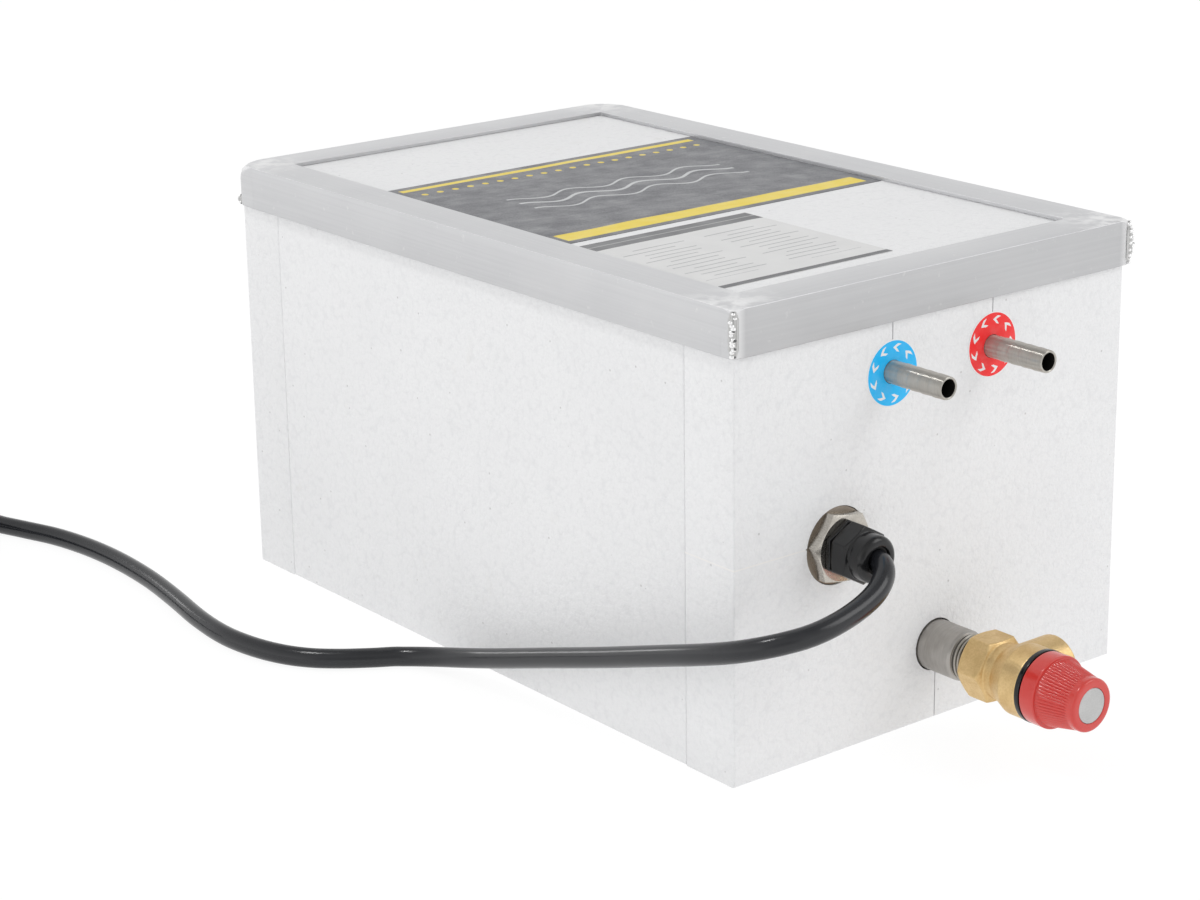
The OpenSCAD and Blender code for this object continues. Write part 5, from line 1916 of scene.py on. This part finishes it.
@dataclass
class HeaterFitting:
    """Hexagon head of the heater with its cable gland."""

    head_edge: float = 0.0004
    gland_edge: float = 0.0004
    axis: Axis = Axis(-0.0555, 0.091)
    head_out: float = 0.005
    bevel_from: float = 0.0135
    bevel_deep: float = 0.0029
    bevel_kept: float = 0.5
    flange_r: float = 0.0166

    def hexagon(self, bench: Bench) -> bpy.types.Mesh:
        """Hexagon head with rounded edges and a shallower bevel than the CAD's.

        Args:
            bench: nodes and finishes.

        Returns:
            The head.
        """
        mesh = bench.softened("heater_head", self.head_edge, 3, True)
        for vert in mesh.vertices:
            reach = math.hypot(vert.co.x - self.axis.x, vert.co.z - self.axis.z)
            below = vert.co.y - (self.axis.start - self.head_out)
            if reach > self.bevel_from and below < self.bevel_deep:
                vert.co.y -= (1.0 - self.bevel_kept) * below
        return joined("heater_hexagon", [mesh, self.flange()])

    def flange(self) -> bpy.types.Mesh:
        """Round shoulder behind the hexagon, in the foam's hole.

        Returns:
            Its mesh.
        """
        outline = filleted([
            (-0.0040, 0.0130, 0.0), (-0.0040, self.flange_r, 0.0003), (-0.0005, self.flange_r, 0.0004),
            (-0.0005, 0.0130, 0.0),
        ])
        return to_mesh(turned(self.axis, outline, 96), "head_flange", 50.0)

    def lip(self) -> bpy.types.Mesh:
        """Rubber seal with the lip that closes the gland's mouth round the lead.

        Returns:
            Its mesh.
        """
        outline = filleted([
            (0.0136, 0.0046, 0.0), (0.0136, 0.0070, 0.0002), (0.0184, 0.0070, 0.0003),
            (0.0188, 0.0059, 0.0002), (0.0232, 0.0059, 0.0003), (0.0236, 0.0053, 0.0003),
            (0.0230, 0.0047, 0.0003),
        ])
        return to_mesh(turned(self.axis, outline, 64), "gland_lip", 50.0)

    def build(self, bench: Bench) -> None:
        """Makes the outer pieces and dresses the inner ones.

        Args:
            bench: nodes and finishes.
        """
        finishes = bench.finishes
        head = self.hexagon(bench)
        steels = [finishes.head_steel, finishes.flange_steel]
        bench.put("heater_hexagon", head, steels, ["heater_head"])
        body = bench.softened("gland_body", self.gland_edge, 2, True)
        bench.put("gland_flange", body, [finishes.nylon], ["gland_body"])
        nut = bench.forged("gland_nut", 0.0003, 4)
        bench.put("gland_cap", nut, [finishes.nylon], ["gland_nut"])
        bench.put("gland_lip", self.lip(), [finishes.rubber], ["gland_seal"])
        bench.dress("cable_tail", finishes.cable)
        bench.dress("heater_gasket", finishes.rubber)
        bench.dress("heater_socket", finishes.stainless)
        bench.dress("heater_element", finishes.sheath)
        bench.dress("thermostat_probe", finishes.brass)
        bench.dress("thermostat", finishes.ceramic)


@dataclass
class ReliefValve:
    """Relief pipe, forged valve body, black bonnet and red knob."""

    axis: Axis = Axis(0.0018, 0.0333)
    pipe_r: float = 0.011
    root_r: float = 0.00975
    pipe_bore: float = 0.0082
    thread_from: float = 0.0201
    thread_pitch: float = 0.001814
    thread_turns: float = 5.77
    flutes: int = 60
    flute_depth: float = 0.00042
    cam_inner: float = 0.0086
    cam_outer: float = 0.0125
    cam_from: float = 4.0
    cam_to: float = 89.5
    cam_low: float = 0.06688
    cam_high: float = 0.06860
    cam_roof: float = 0.0701

    def pipe(self) -> bpy.types.Mesh:
        """Relief pipe with its chamfer and the turned-down end for its thread.

        Returns:
            Its mesh.
        """
        outline = filleted([
            (-0.0344, self.pipe_bore, 0.0003), (-0.0344, self.pipe_r, 0.0003), (0.0173, self.pipe_r, 0.0004),
            (0.0186, 0.0103, 0.0003), (0.0188, self.root_r, 0.0002), (0.0312, self.root_r, 0.0002),
            (0.0320, 0.0092, 0.0002), (0.0320, self.pipe_bore, 0.0003),
        ])
        return to_mesh(turned(self.axis, outline, 96), "relief_pipe", 40.0)

    def roots(self) -> bpy.types.Mesh:
        """Painted shade in the grooves between the turns of the thread, as a dark sleeve on the pipe's end.

        Returns:
            Its mesh.
        """
        low = self.root_r - 0.0005
        high = self.root_r + 0.00003
        outline = [(0.01895, low), (0.01895, high), (0.0311, high), (0.0311, low)]
        return to_mesh(turned(self.axis, outline, 96), "thread_roots", 40.0)

    def thread(self, material: bpy.types.Material) -> bpy.types.Mesh:
        """Rounded ridge wound round the pipe's end.

        Args:
            material: finish of the ridge.

        Returns:
            The ridge.
        """
        recipe = Recipe("pipe_thread")
        turns = recipe.takes("Turns", Input.LENGTH)
        pitch = recipe.takes("Pitch", Input.LENGTH)
        radius = recipe.takes("Radius", Input.LENGTH)
        ridge = recipe.takes("Ridge", Input.LENGTH)
        place = recipe.takes("Place", Input.PLACE)
        rise = recipe.maths("MULTIPLY", turns, pitch)
        spiral = recipe.node("GeometryNodeCurveSpiral", {
            "Resolution": 72, "Rotations": turns, "Start Radius": radius, "End Radius": radius,
            "Height": rise, "Reverse": True,
        })
        section = recipe.node("GeometryNodeCurvePrimitiveCircle", {"Resolution": 8, "Radius": ridge})
        inputs = {0: spiral.outputs[0], 1: section.outputs[0], "Fill Caps": True}
        wound = recipe.node("GeometryNodeCurveToMesh", inputs)
        inputs = {"Geometry": wound.outputs[0], "Translation": place, "Rotation": (math.pi / 2, 0.0, 0.0)}
        recipe.ends(recipe.node("GeometryNodeTransform", inputs).outputs[0], material)
        return recipe.mesh({
            "Turns": self.thread_turns, "Pitch": self.thread_pitch, "Radius": 0.00985, "Ridge": 0.00055,
            "Place": self.axis.point(self.thread_from, 0.0, 0.0),
        })

    def cam_tooth(self, first: float) -> bmesh.types.BMesh:
        """One sloping tooth of the lifting cam under the knob's roof.

        Args:
            first: angle in degrees at which the tooth starts.

        Returns:
            The tooth.
        """
        rings = []
        for step in range(9):
            t = step / 8
            angle = math.radians(first + self.cam_from + (self.cam_to - self.cam_from) * t)
            low = self.cam_low + (self.cam_high - self.cam_low) * t
            ends = ((low, self.cam_inner), (low, self.cam_outer))
            roof = ((self.cam_roof, self.cam_outer), (self.cam_roof, self.cam_inner))
            rings.append([self.axis.point(out, radius, angle) for out, radius in ends + roof])
        return swept(rings)

    def flute_recipe(self, material: bpy.types.Material) -> Recipe:
        """Recipe that presses flutes into the part of a turned solid with the attribute "zone".

        Args:
            material: finish of the solid.

        Returns:
            The recipe.
        """
        recipe = Recipe("knob_flutes")
        base = recipe.takes("Solid", Input.GEOMETRY)
        count = recipe.takes("Flutes", Input.COUNT)
        depth = recipe.takes("Depth", Input.LENGTH)
        middle = recipe.takes("Middle", Input.PLACE)
        place = recipe.node("GeometryNodeInputPosition", {}).outputs[0]
        off = recipe.node("ShaderNodeVectorMath", {0: place, 1: middle}, operation="SUBTRACT").outputs[0]
        x, _, z = recipe.node("ShaderNodeSeparateXYZ", {0: off}).outputs
        angle = recipe.maths("ARCTAN2", z, x)
        wave = recipe.maths("COSINE", recipe.maths("MULTIPLY", angle, count))
        ridge = recipe.maths("SQRT", recipe.maths("MULTIPLY_ADD", wave, -0.5, 0.5))
        hollow = recipe.maths("SUBTRACT", 1.0, ridge)
        grip = recipe.node("GeometryNodeInputNamedAttribute", {"Name": "zone"}, data_type="FLOAT").outputs[0]
        inward = recipe.maths("MULTIPLY", depth, -1.0)
        press = recipe.maths("MULTIPLY", recipe.maths("MULTIPLY", hollow, grip), inward)
        across = recipe.maths("MULTIPLY", recipe.maths("COSINE", angle), press)
        up = recipe.maths("MULTIPLY", recipe.maths("SINE", angle), press)
        offset = recipe.node("ShaderNodeCombineXYZ", {"X": across, "Z": up})
        pressed = recipe.node("GeometryNodeSetPosition", {"Geometry": base, "Offset": offset.outputs[0]})
        recipe.ends(pressed.outputs[0], material)
        return recipe

    def knob(self, material: bpy.types.Material) -> bpy.types.Mesh:
        """Knob with its foot ring, fluted cone, end ring and cam teeth.

        Args:
            material: finish of the knob.

        Returns:
            The knob.
        """
        corners = [
            (0.0626, 0.0133, 0.0002), (0.0626, 0.0155, 0.0006), (0.0702, 0.0155, 0.0013),
            (0.0702, 0.01425, 0.0002),
        ]
        steps = 14
        cone = [(0.0706 + 0.0138 * k / steps, 0.01417 - 0.0027 * k / steps, 0.0) for k in range(steps + 1)]
        rest = [
            (0.0848, 0.0114, 0.0), (0.0880, 0.0114, 0.0017), (0.0880, 0.00755, 0.0004),
            (0.0864, 0.00755, 0.0), (0.0864, 0.00645, 0.0), (0.0802, 0.00645, 0.0),
            (0.0802, 0.00255, 0.0), (0.0696, 0.00255, 0.0), (0.0696, 0.0133, 0.0003),
        ]
        outline = filleted(corners + cone + rest, 6)
        zones = []
        for out, radius in outline:
            inside = radius > 0.0110 and 0.0703 < out < 0.0846
            zones.append(1.0 if inside and 0.0710 < out < 0.0840 else 0.4 if inside else 0.0)
        solid = to_mesh(turned(self.axis, outline, self.flutes * 10, zones), "knob_solid")
        sizes = {"Flutes": self.flutes, "Depth": self.flute_depth, "Middle": self.axis.point(0.0, 0.0, 0.0)}
        fluted = self.flute_recipe(material).mesh(sizes, solid)
        shape = bmesh.new()
        shape.from_mesh(fluted)
        for index in range(4):
            shape.from_mesh(to_mesh(self.cam_tooth(90.0 * index), "cam_tooth"))
        return to_mesh(shape, "relief_knob", 62.0)

    def disc(self) -> bpy.types.Mesh:
        """Bare silver disc in the knob's end, slightly dished.

        Returns:
            Its mesh.
        """
        outline = filleted([
            (0.0864, 0.0, 0.0), (0.0864, 0.00745, 0.0002), (0.0879, 0.00745, 0.0003),
            (0.0877, 0.0068, 0.0002), (0.08765, 0.0035, 0.0), (0.08762, 0.0, 0.0),
        ])
        return to_mesh(turned(self.axis, outline, 72), "knob_disc", 40.0)

    def build(self, bench: Bench) -> None:
        """Makes the valve and dresses its inner pieces.

        Args:
            bench: nodes and finishes.
        """
        finishes = bench.finishes
        pipe = joined("relief_pipe_end", [self.pipe(), self.roots(), self.thread(finishes.bright_steel)])
        steels = [finishes.pipe_steel, finishes.root_steel, finishes.bright_steel]
        bench.put("relief_pipe_end", pipe, steels, ["relief_pipe"])
        body = bench.forged("valve_body", 0.00036, 5)
        bench.put("valve_forging", body, [finishes.forged_brass], ["valve_body"])
        bonnet = bench.softened("valve_bonnet", 0.00025, 2, True)
        bench.put("valve_cap", bonnet, [finishes.nylon], ["valve_bonnet"])
        knob = self.knob(finishes.red)
        bench.put("relief_knob", knob, [finishes.red], ["valve_knob"], "knob")
        bench.put("knob_disc", self.disc(), [finishes.disc], ["knob_insert"], "knob")
        bench.dress("spindle_seal", finishes.rubber)
        bench.dress("valve_spindle", finishes.brass)
        bench.dress("valve_seat_disc", finishes.rubber)
        bench.dress("valve_spring", finishes.spring)
        bench.dress("spindle_nut", finishes.stainless)


@dataclass
class Tank:
    """Stainless tank inside the foam."""

    parts: tuple[str, ...] = ("tank_shell", "tank_front_end", "tank_rear_end")

    def build(self, bench: Bench) -> None:
        """Dresses the tank's sheets.

        Args:
            bench: nodes and finishes.
        """
        for part in self.parts:
            bench.dress(part, bench.finishes.stainless)


def main() -> None:
    """Builds the studio and every sub-assembly."""
    logging.basicConfig(level=logging.INFO)
    for old in list(bpy.data.objects):
        bpy.data.objects.remove(old)
    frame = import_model()
    Studio().build()
    bench = Bench(frame["nodes"], Finishes.made())
    for assembly in (
        SupplyLead(), FoamBox(), AngleFrame(), Films(), HoseTails(), HeaterFitting(), ReliefValve(), Tank(),
    ):
        assembly.build(bench)
        LOG.info("%s done", type(assembly).__name__)


if __name__ == "__main__":
    main()
